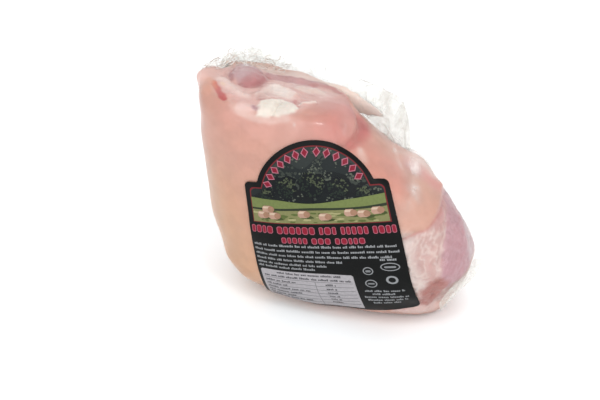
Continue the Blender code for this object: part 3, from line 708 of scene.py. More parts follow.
def closed_sheet(grid, thickness):
    """Points and faces of a thin closed sheet along a grid of places."""
    rows, columns, _ = grid.shape
    out = sheet_normals(grid) * thickness / 2
    count = rows * columns
    index = np.arange(count).reshape(rows, columns)
    rim = [*index[0], *index[1:, -1], *index[-1, -2::-1], *index[-2:0:-1, 0]]
    front = grid_faces(rows, columns, False)
    back = [[k + count for k in reversed(face)] for face in front]
    walls = [(b, a, a + count, b + count) for a, b in zip(rim, rim[1:] + rim[:1])]
    return np.vstack([(grid + out).reshape(-1, 3), (grid - out).reshape(-1, 3)]), front + back + walls


def set_attribute(piece, name, values):
    """A number or a colour at each point of a piece."""
    values = np.asarray(values, np.float32)
    if values.ndim == 1:
        piece.data.attributes.new(name, "FLOAT", "POINT").data.foreach_set("value", values)
    else:
        colour = np.column_stack([values, np.ones(len(values), np.float32)])
        piece.data.attributes.new(name, "FLOAT_COLOR", "POINT").data.foreach_set("color", colour.ravel())


# ---------------------------------------------------------------- colours and shaders

def colour(red, green, blue):
    """Display values from 0 to 255 as a linear colour."""
    shares = np.array([red, green, blue]) / 255
    return TONE_SHARE * np.where(shares <= 0.04045, shares / 12.92, ((shares + 0.055) / 1.055) ** 2.4)


def laid_over(tint, tone, share):
    """Linear colours with a tone of display values over them, by a share at each place."""
    share = share[:, None]
    return tint * (1 - share) + colour(*tone) * share


class Shader:
    """A material, built node by node."""

    def __init__(self, name):
        self.material = bpy.data.materials.new(name)
        self.material.use_nodes = True
        self.tree = self.material.node_tree
        self.tree.nodes.clear()
        self.place = self.node("TexCoord").outputs["Object"]

    def node(self, kind, inputs=None, **settings):
        """A new node with its settings and inputs."""
        made = self.tree.nodes.new("ShaderNode" + kind)
        for key, value in settings.items():
            setattr(made, key, value)
        for key, value in (inputs or {}).items():
            self.put(made.inputs[key], value)
        return made

    def put(self, socket, value):
        """Links another node's output to a socket, or gives the socket a value."""
        if isinstance(value, bpy.types.NodeSocket):
            self.tree.links.new(value, socket)
        else:
            socket.default_value = (*value, 1) if socket.type == "RGBA" and len(value) == 3 else value

    def noise(self, size, detail):
        """Random values from 0 to 1 that change over the given size in mm."""
        inputs = {"Vector": self.place, "Scale": 1 / (size * MM), "Detail": detail, "Roughness": 0.5}
        return self.node("TexNoise", inputs).outputs["Fac"]

    def attribute(self, name, part="Fac"):
        return self.node("Attribute", attribute_name=name).outputs[part]

    def ranged(self, value, low, high, to_low=0.0, to_high=1.0):
        """Values from low to high brought to another range, with a smooth turn at its ends."""
        inputs = {"Value": value, "From Min": low, "From Max": high, "To Min": to_low, "To Max": to_high}
        return self.node("MapRange", inputs, interpolation_type="SMOOTHSTEP").outputs["Result"]

    def maths(self, operation, first, second=0):
        return self.node("Math", {0: first, 1: second}, operation=operation).outputs[0]

    def mix(self, share, first, second):
        """One colour mixed into another by a share."""
        made = self.node("Mix", data_type="RGBA")
        for number, value in zip(COLOUR_MIX_INPUTS, (share, first, second)):
            self.put(made.inputs[number], value)
        return made.outputs[2]

    def scaled(self, tint, share):
        """A colour times a share."""
        return self.node("VectorMath", {0: tint, "Scale": share}, operation="SCALE").outputs["Vector"]

    def bump(self, height, depth):
        """A bump of the given depth in mm."""
        inputs = {"Height": height, "Strength": 1.0, "Distance": depth * MM}
        return self.node("Bump", inputs).outputs["Normal"]

    def finish(self, surface):
        self.node("OutputMaterial", {"Surface": surface})
        return self.material

    def finish_solid(self, inputs):
        """The material with one principled surface."""
        return self.finish(self.node("BsdfPrincipled", inputs).outputs["BSDF"])


# ---------------------------------------------------------------- view and light

def camera_axes():
    """The camera's right, up and backward directions."""
    side, ahead = math.sin(CAMERA_TURN), math.cos(CAMERA_TURN)
    right = Vector((ahead, side, 0))
    level = math.cos(CAMERA_DROP)
    back = Vector((side * level, -ahead * level, math.sin(CAMERA_DROP)))
    return right, back.cross(right), back


def add_camera():
    """The camera, placed so that the outlines' origin shows where it is aimed."""
    right, up, back = camera_axes()
    pixels = LENS / SENSOR * FRAME_PIXELS[0]
    aside = (CAMERA_AIM[0] - FRAME_PIXELS[0] / 2) / pixels * CAMERA_DISTANCE
    above = (CAMERA_AIM[1] - FRAME_PIXELS[1] / 2) / pixels * CAMERA_DISTANCE
    place = (Vector(ORIGIN) + back * CAMERA_DISTANCE - right * aside + up * above) * MM
    data = bpy.data.cameras.new("camera")
    data.lens, data.sensor_width, data.clip_start = LENS, SENSOR, NEAR_CLIP
    camera = bpy.data.objects.new("camera", data)
    camera.matrix_world = Matrix((
        (right.x, up.x, back.x, place.x), (right.y, up.y, back.y, place.y),
        (right.z, up.z, back.z, place.z), (0, 0, 0, 1)))
    bpy.context.scene.collection.objects.link(camera)
    bpy.context.scene.camera = camera


def add_light(name, place, size, power):
    """A square soft light, aimed at the object."""
    data = bpy.data.lights.new(name, "AREA")
    data.size, data.energy = size, power
    lamp = bpy.data.objects.new(name, data)
    lamp.location = place
    lamp.rotation_euler = (Vector(LIGHT_AIM) - Vector(place)).to_track_quat("-Z", "Y").to_euler()
    bpy.context.scene.collection.objects.link(lamp)


def add_studio():
    """A pale floor, an even white surround and soft lamps."""
    shader = Shader("floor")
    grain = shader.ranged(shader.noise(40, 3), 0.3, 0.7)
    base = shader.mix(grain, *FLOOR_COLOURS)
    floor = bpy.data.meshes.new("floor")
    corners = [(x * FLOOR_REACH, y * FLOOR_REACH, 0) for x, y in ((-1, -1), (1, -1), (1, 1), (-1, 1))]
    floor.from_pydata(corners, [], [(0, 1, 2, 3)])
    paper = {"Base Color": base, "Roughness": 0.8, "Specular IOR Level": 0.1}
    floor.materials.append(shader.finish_solid(paper))
    stage = bpy.data.objects.new("floor", floor)
    bpy.context.scene.collection.objects.link(stage)
    world = bpy.data.worlds.new("surround")
    world.use_nodes = True
    background = world.node_tree.nodes["Background"]
    background.inputs["Color"].default_value = (1, 1, 1, 1)
    background.inputs["Strength"].default_value = SURROUND_STRENGTH
    bpy.context.scene.world = world
    bpy.context.scene.view_settings.view_transform = "Standard"
    for name, light in LIGHTS.items():
        add_light(name, *light)


# ---------------------------------------------------------------- contents

def line_share(places, line, half_width, soft):
    """1 along a line, falling to 0 round its half width over a soft share of it."""
    return 1 - smooth_share(gap_to(places, line), half_width * (1 - soft), half_width * (1 + soft))


def area_share(places, corners, soft, depth):
    """1 inside an area given by its corners, falling to 0 over a soft edge and below a depth."""
    corners = np.array(corners, float)
    middle = corners.mean(axis=0)
    axes = np.linalg.svd(corners - middle)[2]
    flat = (places - middle) @ axes.T
    outline = (corners - middle) @ axes[:2].T
    x, y = flat[:, 0], flat[:, 1]
    inside = np.zeros(len(places), bool)
    gap = np.full(len(places), np.inf)
    for a, b in zip(outline, np.roll(outline, -1, axis=0)):
        run = b - a
        share = np.clip(((x - a[0]) * run[0] + (y - a[1]) * run[1]) / (run @ run), 0, 1)
        gap = np.minimum(gap, np.hypot(x - a[0] - share * run[0], y - a[1] - share * run[1]))
        crosses = (a[1] > y) != (b[1] > y)
        inside ^= crosses & (x < a[0] + (y - a[1]) * run[0] / (run[1] if run[1] else 1e-9))
    signed = np.where(inside, gap, -gap)
    return smooth_share(signed, -soft, soft) * (1 - smooth_share(np.abs(flat[:, 2]), depth, depth + 3))


def cut_share(places, name, soft):
    """1 inside the area of a named cut face, falling to 0 over a soft edge."""
    _, corners, _, depth, _, _ = CUT_TINTS[name]
    return area_share(places.reshape(-1, 3), corners, soft, depth).reshape(places.shape[:-1])


def streak_lines(places, name):
    """0 along fine wavy lines that run up an area, and more between them."""
    size, squeeze = STREAKS[name][:2]
    along = np.array(STREAKS_ALONG)
    spots = places + drift(places, size=9, detail=1, offsets=(0, 50, 90)) * STREAK_WARP
    return np.abs(rough(spots - (1 - squeeze) * (spots @ along)[..., None] * along, size, 2))


def painted(places):
    """The colour of the contents at each place."""
    spots = places + drift(places, size=4, detail=2, offsets=(0, 40, 80)) * BORDER_RAGGED
    tint = np.tile(colour(*RIND_TONE), (len(places), 1))
    for line, half_width, soft, tone, strength in RIND_TINTS.values():
        tint = laid_over(tint, tone, line_share(spots, line, half_width, soft) * strength)
    for name, (kind, points, *measures, tone, strength) in CUT_TINTS.items():
        share = (area_share if kind == "area" else line_share)(spots, points, *measures)
        tint = laid_over(tint, tone, share * strength)
        # On the lean end the dark streaks are painted shade in the troughs between the ridges, and the pale
        # ones partly painted highlight on their crests.
        if name in STREAKS:
            pale, dark, strength = STREAKS[name][2:]
            lines = streak_lines(places, name)
            tint = laid_over(tint, pale, share * strength * (1 - smooth_share(lines, *PALE_STREAK_ENDS)))
            tint = laid_over(tint, dark, share * strength * smooth_share(lines, *DARK_STREAK_STARTS))
    return tint


def contents_material():
    """Moist flesh and rind in the colours of the tint attribute, a little mottled."""
    shader = Shader("meat")
    mottle = shader.ranged(shader.noise(9, 4), 0.35, 0.65, 0.95, 1.05)
    speck = shader.ranged(shader.noise(1.6, 3), 0.3, 0.7, 0.97, 1.03)
    shade = shader.maths("MULTIPLY", mottle, speck)
    return shader.finish_solid({
        "Base Color": shader.scaled(shader.attribute("tint", "Color"), shade),
        "Roughness": 0.42, "Specular IOR Level": 0.35, "Subsurface Weight": 0.12,
        "Subsurface Radius": (1.0, 0.45, 0.3), "Subsurface Scale": 0.003,
        "Normal": shader.bump(shader.noise(1.1, 4), SKIN_DEPTH)})


def add_contents(rings, outward):
    """The knuckle and its flap; returns how far over the smooth body they reach."""
    covered = rings + outward * main_relief(rings, FILM_IN_DENTS)[..., None]
    height = main_relief(rings, 1, CONTENTS_FORMS | OUTER_FORMS)
    height += cut_share(covered, "top cut", soft=3) * TOP_LUMPS[1] * rough(rings, TOP_LUMPS[0], 2)
    ridges = LEAN_RIDGE_LEVEL - streak_lines(covered, "lean end")
    height += cut_share(covered, "lean end", soft=2) * LEAN_RIDGE_HEIGHT * ridges
    height = height * under_fade(rings) + CONTENTS_LIFT
    points, faces = closed_body(rings + outward * height[..., None])
    material = contents_material()
    piece = add_piece("knuckle", points, faces, material, "bag")
    set_attribute(piece, "tint", painted(closed_body(covered)[0]))
    return np.maximum(height, reach_over(rings, outward, add_flap(material)))


def reach_over(rings, outward, points):
    """How far over the smooth body the flap's points reach, falling off beside them."""
    height = np.full(rings.shape[:2], CONTENTS_LIFT)
    near = gap_to(rings, FLAP, FLAP_STEPS) < FLAP_REACH
    gaps = points - rings[near][:, None]
    up = np.einsum("nmk,nk->nm", gaps, outward[near])
    side = np.sqrt(np.maximum((gaps**2).sum(axis=2) - up**2, 0))
    height[near] = (up * (1 - smooth_share(side, *FLAP_COVER))).max(axis=1)
    return np.maximum(height, CONTENTS_LIFT)


def add_flap(material):
    """The tongue of rind behind the front's shoulder; returns its points."""
    spine = smooth_line(FLAP, FLAP_STEPS)
    wide, thick = (smooth_line(line, FLAP_STEPS)[:, None] for line in (FLAP_HALF_WIDTH, FLAP_HALF_THICK))
    heading = np.gradient(spine, axis=0)
    side = unit(np.cross(heading, (0, 1, 0)))
    deep = unit(np.cross(heading, side))
    turn = np.linspace(0, 2 * math.pi, FLAP_AROUND, endpoint=False)[None, :, None]
    grid = spine[:, None] + side[:, None] * wide * np.cos(turn) + deep[:, None] * thick * np.sin(turn)
    grid += side[:, None] * (rough(grid, *FLAP_LUMPS[:2]) * FLAP_LUMPS[2])[..., None]
    points = np.vstack([grid.reshape(-1, 3), spine[0], spine[-1]])
    piece = add_piece("flap", points, capped_faces(FLAP_STEPS, FLAP_AROUND), material, "bag")
    share = smooth_share(points[:, 0], *FLAP_TONE_TURN)
    set_attribute(piece, "tint", laid_over(colour(*FLAP_TONES[0]), FLAP_TONES[1], share))
    return points


# ---------------------------------------------------------------- film

def film_material(name, milk_colour):
    """Clear film that reflects more towards its edges; milky, with painted glints, as its attribute says."""
    shader = Shader(name)
    crease = shader.maths("ABSOLUTE", shader.maths("SUBTRACT", shader.noise(5, 4), 0.5))
    crinkle = shader.bump(shader.maths("MULTIPLY", crease, shader.attribute("crinkle")), CRINKLE_DEPTH)
    facing = shader.node("LayerWeight", {"Blend": 0.5, "Normal": crinkle}).outputs["Facing"]
    edge = shader.maths("POWER", facing, EDGE_SHARPNESS)
    reflect = shader.maths("ADD", shader.maths("MULTIPLY", edge, EDGE_REFLECTION), FACE_REFLECTION)
    clear = shader.node("BsdfTransparent", {"Color": CLEAR_COLOUR}).outputs["BSDF"]
    shine = {"Color": (1, 1, 1), "Roughness": FILM_ROUGHNESS, "Normal": crinkle}
    gloss = shader.node("BsdfGlossy", shine).outputs["BSDF"]
    milk_and_glint = shader.node("BsdfDiffuse", {"Color": milk_colour, "Normal": crinkle}).outputs["BSDF"]
    sheet = shader.node("MixShader", {0: reflect, 1: clear, 2: gloss}).outputs["Shader"]
    patch = shader.ranged(shader.noise(6, 4), 0.3, 0.7, 0.5, 1.0)
    share = shader.maths("MULTIPLY", patch, shader.attribute("haze_and_glint"))
    return shader.finish(shader.node("MixShader", {0: share, 1: sheet, 2: milk_and_glint}).outputs["Shader"])


def add_film_piece(name, points, faces, material, haze_and_glint, crinkle):
    """A piece of film with its haze, painted glints included, and its crinkle at each point."""
    piece = add_piece(name, points, faces, material, "bag")
    set_attribute(piece, "haze_and_glint", haze_and_glint)
    set_attribute(piece, "crinkle", crinkle)


def strip_grid(root, edge, seed, columns, rows, pleat, depth, ragged):
    """The places of a crumpled strip between two lines, with an uneven free edge, and how it waves."""
    start, end = smooth_line(root, columns), smooth_line(edge, columns)
    along = np.concatenate([[0], np.cumsum(np.linalg.norm(np.diff(start, axis=0), axis=1))])
    uneven = rough(np.column_stack([along, np.full(columns, seed), np.zeros(columns)]), pleat, 1)
    reach = 1 + ragged * uneven * smooth_share(np.minimum(along, along[-1] - along), 0, STRIP_ENDS)
    share = np.linspace(0, 1, rows)[:, None]
    grid = start + (end - start) * (share * reach)[..., None]
    across = share * np.linalg.norm(end - start, axis=1)
    spots = np.stack([np.broadcast_to(along, across.shape) + across * PLEAT_LEAN, across * PLEAT_STRETCH,
                      np.full(across.shape, float(seed))], axis=-1)
    wave = PLEAT_LEVEL - np.abs(rough(spots, pleat)) * PLEAT_SHARPNESS
    wave = wave + RIPPLE_HEIGHT * rough(spots, pleat / RIPPLE_FINENESS)
    return grid + sheet_normals(grid) * (wave * depth * smooth_share(share, 0, 0.5))[..., None], wave


def add_strip(name, grid, wave, material, haze_and_glint, more=0):
    """A strip of film, milky where it turns, and more so towards its last column."""
    points, faces = closed_sheet(grid, FILM_THICK)
    milky = haze_and_glint[0] + (haze_and_glint[1] - haze_and_glint[0]) * np.clip(np.abs(np.gradient(wave, axis=1)) * TURN_MILKINESS, 0, 1)
    rise = smooth_share(np.linspace(0, 1, grid.shape[1]), *MILKY_COLUMNS)
    milky = np.clip(milky + more * rise, 0, 1)
    add_film_piece(name, points, faces, material, np.tile(milky.ravel(), 2), np.ones(len(points)))


def add_creases(name, grid, material, count, seed, widest=0.24, haze_and_glint=0.85, turning=0.45):
    """Short wiggly ridges of crumpled film, scattered over a strip's grid."""
    rows, columns, _ = grid.shape
    draw = np.random.default_rng(seed)
    angles = np.linspace(0, 2 * math.pi, CREASE_SIDES, endpoint=False)
    section = np.stack([np.cos(angles), np.zeros(CREASE_SIDES), np.sin(angles)], axis=1)
    points, faces = [], []
    for _ in range(count):
        steps = draw.integers(*CREASE_STEPS)
        turn = draw.uniform(0, 2 * math.pi) + np.cumsum(draw.normal(0, turning, steps))
        row = draw.uniform(0, rows - 1) + np.cumsum(np.sin(turn))
        column = draw.uniform(0, columns - 1) + CREASE_STRETCH * np.cumsum(np.cos(turn))
        spine = between(grid, np.clip(row, 0, rows - 1.01), np.clip(column, 0, columns - 1.01))
        bulge = np.sin(np.linspace(CREASE_TIP, math.pi - CREASE_TIP, steps))
        radius = draw.uniform(CREASE_THINNEST, 1) * widest * bulge
        first, last = len(points), len(points) + (steps - 1) * CREASE_SIDES
        points += (spine[:, None] + radius[:, None, None] * section).reshape(-1, 3).tolist()
        faces += [tuple(k + first for k in face) for face in grid_faces(steps, CREASE_SIDES, True)]
        faces += [tuple(first + k for k in reversed(range(CREASE_SIDES))),
                  tuple(last + k for k in range(CREASE_SIDES))]
    total = len(points)
    add_film_piece(name, np.array(points), faces, material, np.full(total, haze_and_glint), np.ones(total))


def film_height(places, contents):
    """How far the film lies over the smooth body, clear of the contents."""
    fade = under_fade(places)
    height = main_relief(places, FILM_IN_DENTS, RELIEF | OUTER_FORMS) + FILM_LIFT
    for line, half_width, rise, _ in FILM_FOLDS.values():
        height = height + rise * bell(gap_to(places, line), half_width)
    height = height * fade
    least = contents + FILM_CLEARANCE
    over = (height + least + np.hypot(height - least, FILM_EASE)) / 2
    return height + (over - height) * fade


def film_looks(points):
    """How milky and how crinkled the film round the body is at each point, painted glints of its pleats
    included.
    """
    near = bell(gap_to(points, SEAL_ROOT, steps=60), SEAL_REACH)
    near = near + bell(gap_to(points, LOW_SEAL_ROOT, steps=30), LOW_SEAL_REACH)
    shoulder = gap_to(points, SHOULDER_CRUMPLE)
    haze_and_glint = HAZE["even"] + HAZE["seals"] * near + HAZE["shoulder"] * bell(shoulder, CRUMPLE_HAZE_REACH)
    # Each pleat gets a painted glint of white milkiness along it, and a fainter painted glow beside it.
    for line, half_width, _, milk_and_glint in FILM_FOLDS.values():
        gap = gap_to(points, line)
        haze_and_glint = haze_and_glint + milk_and_glint * bell(gap, half_width) + HAZE["glow beside folds"] * milk_and_glint * bell(gap, FOLD_HAZE_REACH)
    crinkle = CRINKLE["even"] + CRINKLE["seals"] * near
    crinkle = crinkle + CRINKLE["shoulder"] * bell(shoulder, CRUMPLE_REACH)
    crinkle = crinkle + CRINKLE["lean"] * cut_share(points, "lean end", soft=3)
    return np.clip(haze_and_glint, 0, HAZE["most"]), np.clip(crinkle, 0, 1)


def add_film(places):
    """The film round the body, and its welded strips."""
    clear = film_material("film", FILM_MILK_AND_GLINT)
    crumpled = film_material("crumpled_film", STRIP_MILK)
    sealed = film_material("sealed_film", SEAL_MILK)
    creased = film_material("creased_film", CREASE_MILK)
    points, faces = closed_body(places)
    add_film_piece("film", points, faces, clear, *film_looks(points))
    seal, wave = strip_grid(
        SEAL_ROOT, SEAL_EDGE, seed=3, columns=260, rows=22, pleat=13, depth=2, ragged=0.16)
    add_strip("seal_strip", seal, wave, sealed, haze_and_glint=(0.04, 0.5), more=0.3)
    fold = strip_grid(
        SEAL_ROOT, SEAL_EDGE, seed=31, columns=220, rows=18, pleat=9, depth=1.4, ragged=0.3)
    add_strip("seal_fold", *fold, crumpled, haze_and_glint=(0.02, 0.4))
    low = strip_grid(
        LOW_SEAL_ROOT, LOW_SEAL_EDGE, seed=83, columns=90, rows=16, pleat=14, depth=0.6, ragged=0.1)
    add_strip("low_strip", *low, sealed, haze_and_glint=(0.4, 0.75))
    right_part, right_root = seal[:, 110:], seal[:6, 150:]
    add_creases("seal_creases", right_part, clear, count=12, seed=4, widest=0.36, haze_and_glint=0.5, turning=0.15)
    add_creases("root_creases", right_root, clear, count=40, seed=6, widest=0.25, haze_and_glint=0.9, turning=0.3)
    tuft, wave = strip_grid(
        TUFT_ROOT, TUFT_EDGE, seed=57, columns=150, rows=20, pleat=5, depth=1.8, ragged=0.35)
    add_strip("tuft", tuft, wave, crumpled, haze_and_glint=(0.04, 0.5))
    add_creases("tuft_creases", tuft, creased, count=40, seed=3)
    front, _ = strip_grid(
        FRONT_TUFT_ROOT, FRONT_TUFT_EDGE, seed=12, columns=150, rows=18, pleat=4, depth=1.6, ragged=0.4)
    add_creases("front_creases", front, creased, count=34, seed=8)
    add_creases("pale_creases", front, clear, count=60, seed=19)


# ---------------------------------------------------------------- label

def eased(rows):
    """Rows of places, each but the first and the last moved towards its neighbours."""
    inner = (rows[:-2] + rows[2:]) / 4 + rows[1:-1] / 2
    return np.concatenate([rows[:1], inner, rows[-1:]])


class Label:
    """The label's own frame, laid on a surface: u across and v up, in mm."""

    HALF_WIDTH = 48
    SMOOTHING = 3
    COCKLE = 0.3
    COCKLE_SIZE = 13

    def __init__(self, points, faces):
        self.tree = BVHTree.FromPolygons(points.tolist(), faces)
        place, out = self.nearest(Vector(LABEL_FOOT))
        lean = Vector((-math.sin(LABEL_LEAN), 0, math.cos(LABEL_LEAN)))
        heading = (lean - out * lean.dot(out)).normalized()
        rows = []
        for _ in range(LABEL_HEIGHT + 1):
            rows.append(self.row(place, heading))
            place, heading = self.step(place, heading)
        grid = np.array(rows)
        for _ in range(self.SMOOTHING):
            grid = eased(eased(grid).swapaxes(0, 1)).swapaxes(0, 1)
        self.outward = sheet_normals(grid)
        self.places = grid + self.outward * (self.COCKLE * (0.5 + rough(grid, self.COCKLE_SIZE)))[..., None]

    def nearest(self, place):
        """The surface's nearest place and its direction outward."""
        spot, out, _, _ = self.tree.find_nearest(place)
        return spot, out

    def step(self, place, heading):
        """The place 1 mm on along the surface, and the heading there."""
        place, out = self.nearest(place + heading)
        return place, (heading - out * heading.dot(out)).normalized()

    def row(self, place, up):
        """Places 1 mm apart across the label."""
        _, out = self.nearest(place)
        sides = []
        for side in (-1, 1):
            here, heading = place, up.cross(out).normalized() * side
            line = []
            for _ in range(self.HALF_WIDTH):
                here, heading = self.step(here, heading)
                line.append(here)
            sides.append(line)
        return [*reversed(sides[0]), place, *sides[1]]

    def at(self, u, v, lift):
        """Places over the surface at the label's own u and v."""
        u, v, lift = np.broadcast_arrays(np.asarray(u, float), v, lift)
        rise = np.clip(v / LABEL_SHOULDER, 0, 1)
        flare = 1 + (LABEL_HALF_FOOT / LABEL_HALF_SHOULDER - 1) * (1 - rise)
        flare = flare + LABEL_RIGHT_BULGE * (u > 0) * np.sin(rise * math.pi)
        column = np.clip(u * flare + self.HALF_WIDTH, 0, 2 * self.HALF_WIDTH - 0.001)
        row = np.clip(v, 0, LABEL_HEIGHT - 0.001)
        return between(self.places, row, column) + between(self.outward, row, column) * lift[..., None]


def corner_drop(u, half_width, radius):
    """How far a round corner takes an outline in at a place across the label."""
    past = max(abs(u) - (half_width - radius), 0)
    return radius - math.sqrt(max(radius**2 - past**2, 0))


def shoulder_line(u, inset):
    """The label's upper outline at a place across it, moved in by an inset."""
    shoulder = LABEL_SHOULDER - inset - corner_drop(u, LABEL_HALF_SHOULDER - inset, SHOULDER_CORNER)
    radius = ARCH_RADIUS - inset
    if abs(u) >= radius:
        return shoulder
    return max(ARCH_CENTRE + math.sqrt(radius**2 - u**2), shoulder)


def window(inset, low):
    """The outline of the label's upper part, moved in by an inset, down to a height."""
    half = LABEL_HALF_SHOULDER - inset
    across = half * np.sin(np.linspace(math.pi / 2, -math.pi / 2, WINDOW_POINTS))
    upper = [(u, shoulder_line(u, inset)) for u in across]
    return [(-half, low), (half, low), *upper]


def disc(u, v, radius, squash=1.0, points=16, turn=0.0):
    """A round or oval outline."""
    steps = [2 * math.pi * k / points for k in range(points)]
    flat = [(radius * math.cos(a), radius * squash * math.sin(a)) for a in steps]
    c, s = math.cos(turn), math.sin(turn)
    return [(u + x * c - y * s, v + x * s + y * c) for x, y in flat]


def bar(u, v, width, height):
    """A block with its corners cut, standing on v with its left side at u."""
    cut = min(width, height) * 0.25
    return [(u + cut, v), (u + width - cut, v), (u + width, v + cut), (u + width, v + height - cut),
            (u + width - cut, v + height), (u + cut, v + height), (u, v + height - cut), (u, v + cut)]


def rectangle(left, right, low, height):
    """An upright block's outline."""
    return [(left, low), (right, low), (right, low + height), (left, low + height)]


def clump(u, v, radius, squash=0.85, points=11):
    """An uneven round outline."""
    turns = np.arange(points) * 2 * math.pi / points + RANDOM.uniform(0, 1)
    reach = radius * RANDOM.uniform(0.75, 1.2, points)
    return list(zip(u + reach * np.cos(turns), v + squash * reach * np.sin(turns)))


def in_view(outline):
    """Whether an outline stays inside the printed view."""
    return all(abs(u) < LABEL_HALF_SHOULDER - VIEW_INSET and VIEW_FOOT < v < shoulder_line(u, VIEW_INSET)
               for u, v in outline)


def field(top):
    """The part of the view from its foot up to a line, given as (u, v)."""
    line = smooth_line(top, 80)
    across = np.linspace(-1, 1, WINDOW_POINTS) * (LABEL_HALF_SHOULDER - VIEW_INSET)
    arch = [shoulder_line(u, VIEW_INSET) for u in across]
    upper = np.minimum(np.interp(across, line[:, 0], line[:, 1]), arch)
    return [(across[0], VIEW_FOOT), *zip(across, upper), (across[-1], VIEW_FOOT)][::-1]


def block_row(left, right, v, height, groups):
    """Word-like groups of blocks that fill a row: (u, v, width, height) of each."""
    shares = RANDOM.uniform(*BLOCK_WIDTHS, sum(groups))
    gaps = BLOCK_GAP * (len(shares) - len(groups)) + WORD_GAP * (len(groups) - 1)
    unit_width = (right - left - gaps) / shares.sum()
    blocks, u = [], left
    for group, start in zip(groups, np.cumsum((0, *groups))):
        for width in shares[start:start + group] * unit_width:
            blocks.append((u, v, width, height))
            u += width + BLOCK_GAP
        u += WORD_GAP - BLOCK_GAP
    return blocks


def small_row(left, right, v, height=1.35):
    """Word-like runs of tiny uneven blocks along a line."""
    blocks, u = [], left
    while u < right:
        for _ in range(RANDOM.integers(*SMALL_BLOCKS)):
            width, tall = RANDOM.uniform(*SMALL_WIDTHS), height * RANDOM.choice(SMALL_HEIGHTS)
            if u + width < right:
                blocks.append(rectangle(u, u + width, v, tall))
            u += width + SMALL_BLOCK_GAP
        u += SMALL_WORD_GAP
    return blocks


def cut_plates(outlines):
    """Flat plates cut into cells: their corners, their faces and the runs along their rims."""
    mesh = bmesh.new()
    for k, outline in enumerate(outlines):
        shift = (k % PLATE_LEVELS) * PLATE_SHIFT
        mesh.faces.new([mesh.verts.new((u, v, shift)) for u, v in outline])
    corners = np.array([corner for outline in outlines for corner in outline])
    for axis, normal in enumerate(((1, 0, 0), (0, 1, 0))):
        first = math.floor(corners[:, axis].min() / PRINT_CELL + 1) * PRINT_CELL
        for cut in np.arange(first, corners[:, axis].max() - 1e-4, PRINT_CELL):
            geometry = mesh.verts[:] + mesh.edges[:] + mesh.faces[:]
            spot = [cut * part for part in normal]
            bmesh.ops.bisect_plane(mesh, geom=geometry, dist=1e-5, plane_co=spot, plane_no=normal)
    mesh.normal_update()
    for face in mesh.faces:
        if face.normal.z < 0:
            face.normal_flip()
    mesh.verts.index_update()
    flat = np.array([vertex.co[:] for vertex in mesh.verts])
    faces = [[vertex.index for vertex in face.verts] for face in mesh.faces]
    rims = []
    for edge in mesh.edges:
        if len(edge.link_faces) == 1:
            loop = next(loop for loop in edge.link_faces[0].loops if loop.edge == edge)
            rims.append((loop.vert.index, loop.link_loop_next.vert.index))
    mesh.free()
    return flat, faces, rims


def ink(name, tone):
    """Satin printed ink of one tone, a little uneven."""
    shader = Shader(name)
    grain = shader.ranged(shader.noise(1.2, 3), 0.3, 0.7, 1 - INK_SPREAD, 1 + INK_SPREAD)
    sheen = shader.ranged(shader.noise(6, 3), 0.3, 0.7, 0.28, 0.36)
    return shader.finish_solid({
        "Base Color": shader.scaled(colour(*tone), grain), "Roughness": sheen, "Specular IOR Level": 0.12})


def printed(name, outlines):
    """A printed piece: closed plates, one for each outline, cut fine enough to follow the label's curve."""
    level, tone = PRINTS[name]
    flat, tops, rims = cut_plates(outlines)
    count = len(flat)
    under = [[count + k for k in reversed(face)] for face in tops]
    walls = [(b, a, count + a, count + b) for a, b in rims]
    face_lift = LABEL_LIFT + LABEL_THICK
    points = np.vstack([LABEL.at(flat[:, 0], flat[:, 1], face_lift + level * PRINT_STEP + flat[:, 2]),
                        LABEL.at(flat[:, 0], flat[:, 1], face_lift - PRINT_DEPTH)])
    piece = add_piece(name, points, tops + under + walls, ink(name, tone), "label")
    piece.data.set_sharp_from_angle(angle=PRINT_SHARP_ANGLE)


def add_label():
    """The printed sheet: a closed thin sheet with the label's outline."""
    half = LABEL_HALF_SHOULDER
    across = half * np.sin(np.linspace(-math.pi / 2, math.pi / 2, LABEL_COLUMNS))
    across[0], across[-1] = -half + 0.01, half - 0.01
    low = np.array([corner_drop(u, half, FOOT_CORNER) for u in across])
    high = np.array([shoulder_line(u, 0) for u in across])
    share = np.linspace(0, 1, LABEL_ROWS)[:, None]
    v = low + (high - low) * share
    grid = LABEL.at(np.tile(across, (LABEL_ROWS, 1)), v, LABEL_LIFT + LABEL_THICK / 2)
    points, faces = closed_sheet(grid, LABEL_THICK)
    piece = add_piece("label_sheet", points, faces, ink("ground", GROUND_TONE), "label")
    piece.data.set_sharp_from_angle(angle=SHEET_SHARP_ANGLE)


def printed_in_view(name, outlines):
    """A printed piece of those outlines that stay inside the view."""
    printed(name, [outline for outline in outlines if in_view(outline)])


def foliage(count, size, top, patch):
    """Clumps of leaves over the hills up to a height, gathered in patches of a given size."""
    across = RANDOM.uniform(-LEAVES_HALF_WIDTH, LEAVES_HALF_WIDTH, count)
    spots = np.column_stack([across, RANDOM.uniform(LEAVES_FOOT, top, count), np.zeros(count)])
    kept = spots[rough(spots, patch, 1) > PATCH_LEVEL]
    return [clump(u, v, radius) for (u, v, _), radius in zip(kept, RANDOM.uniform(*size, len(kept)))]


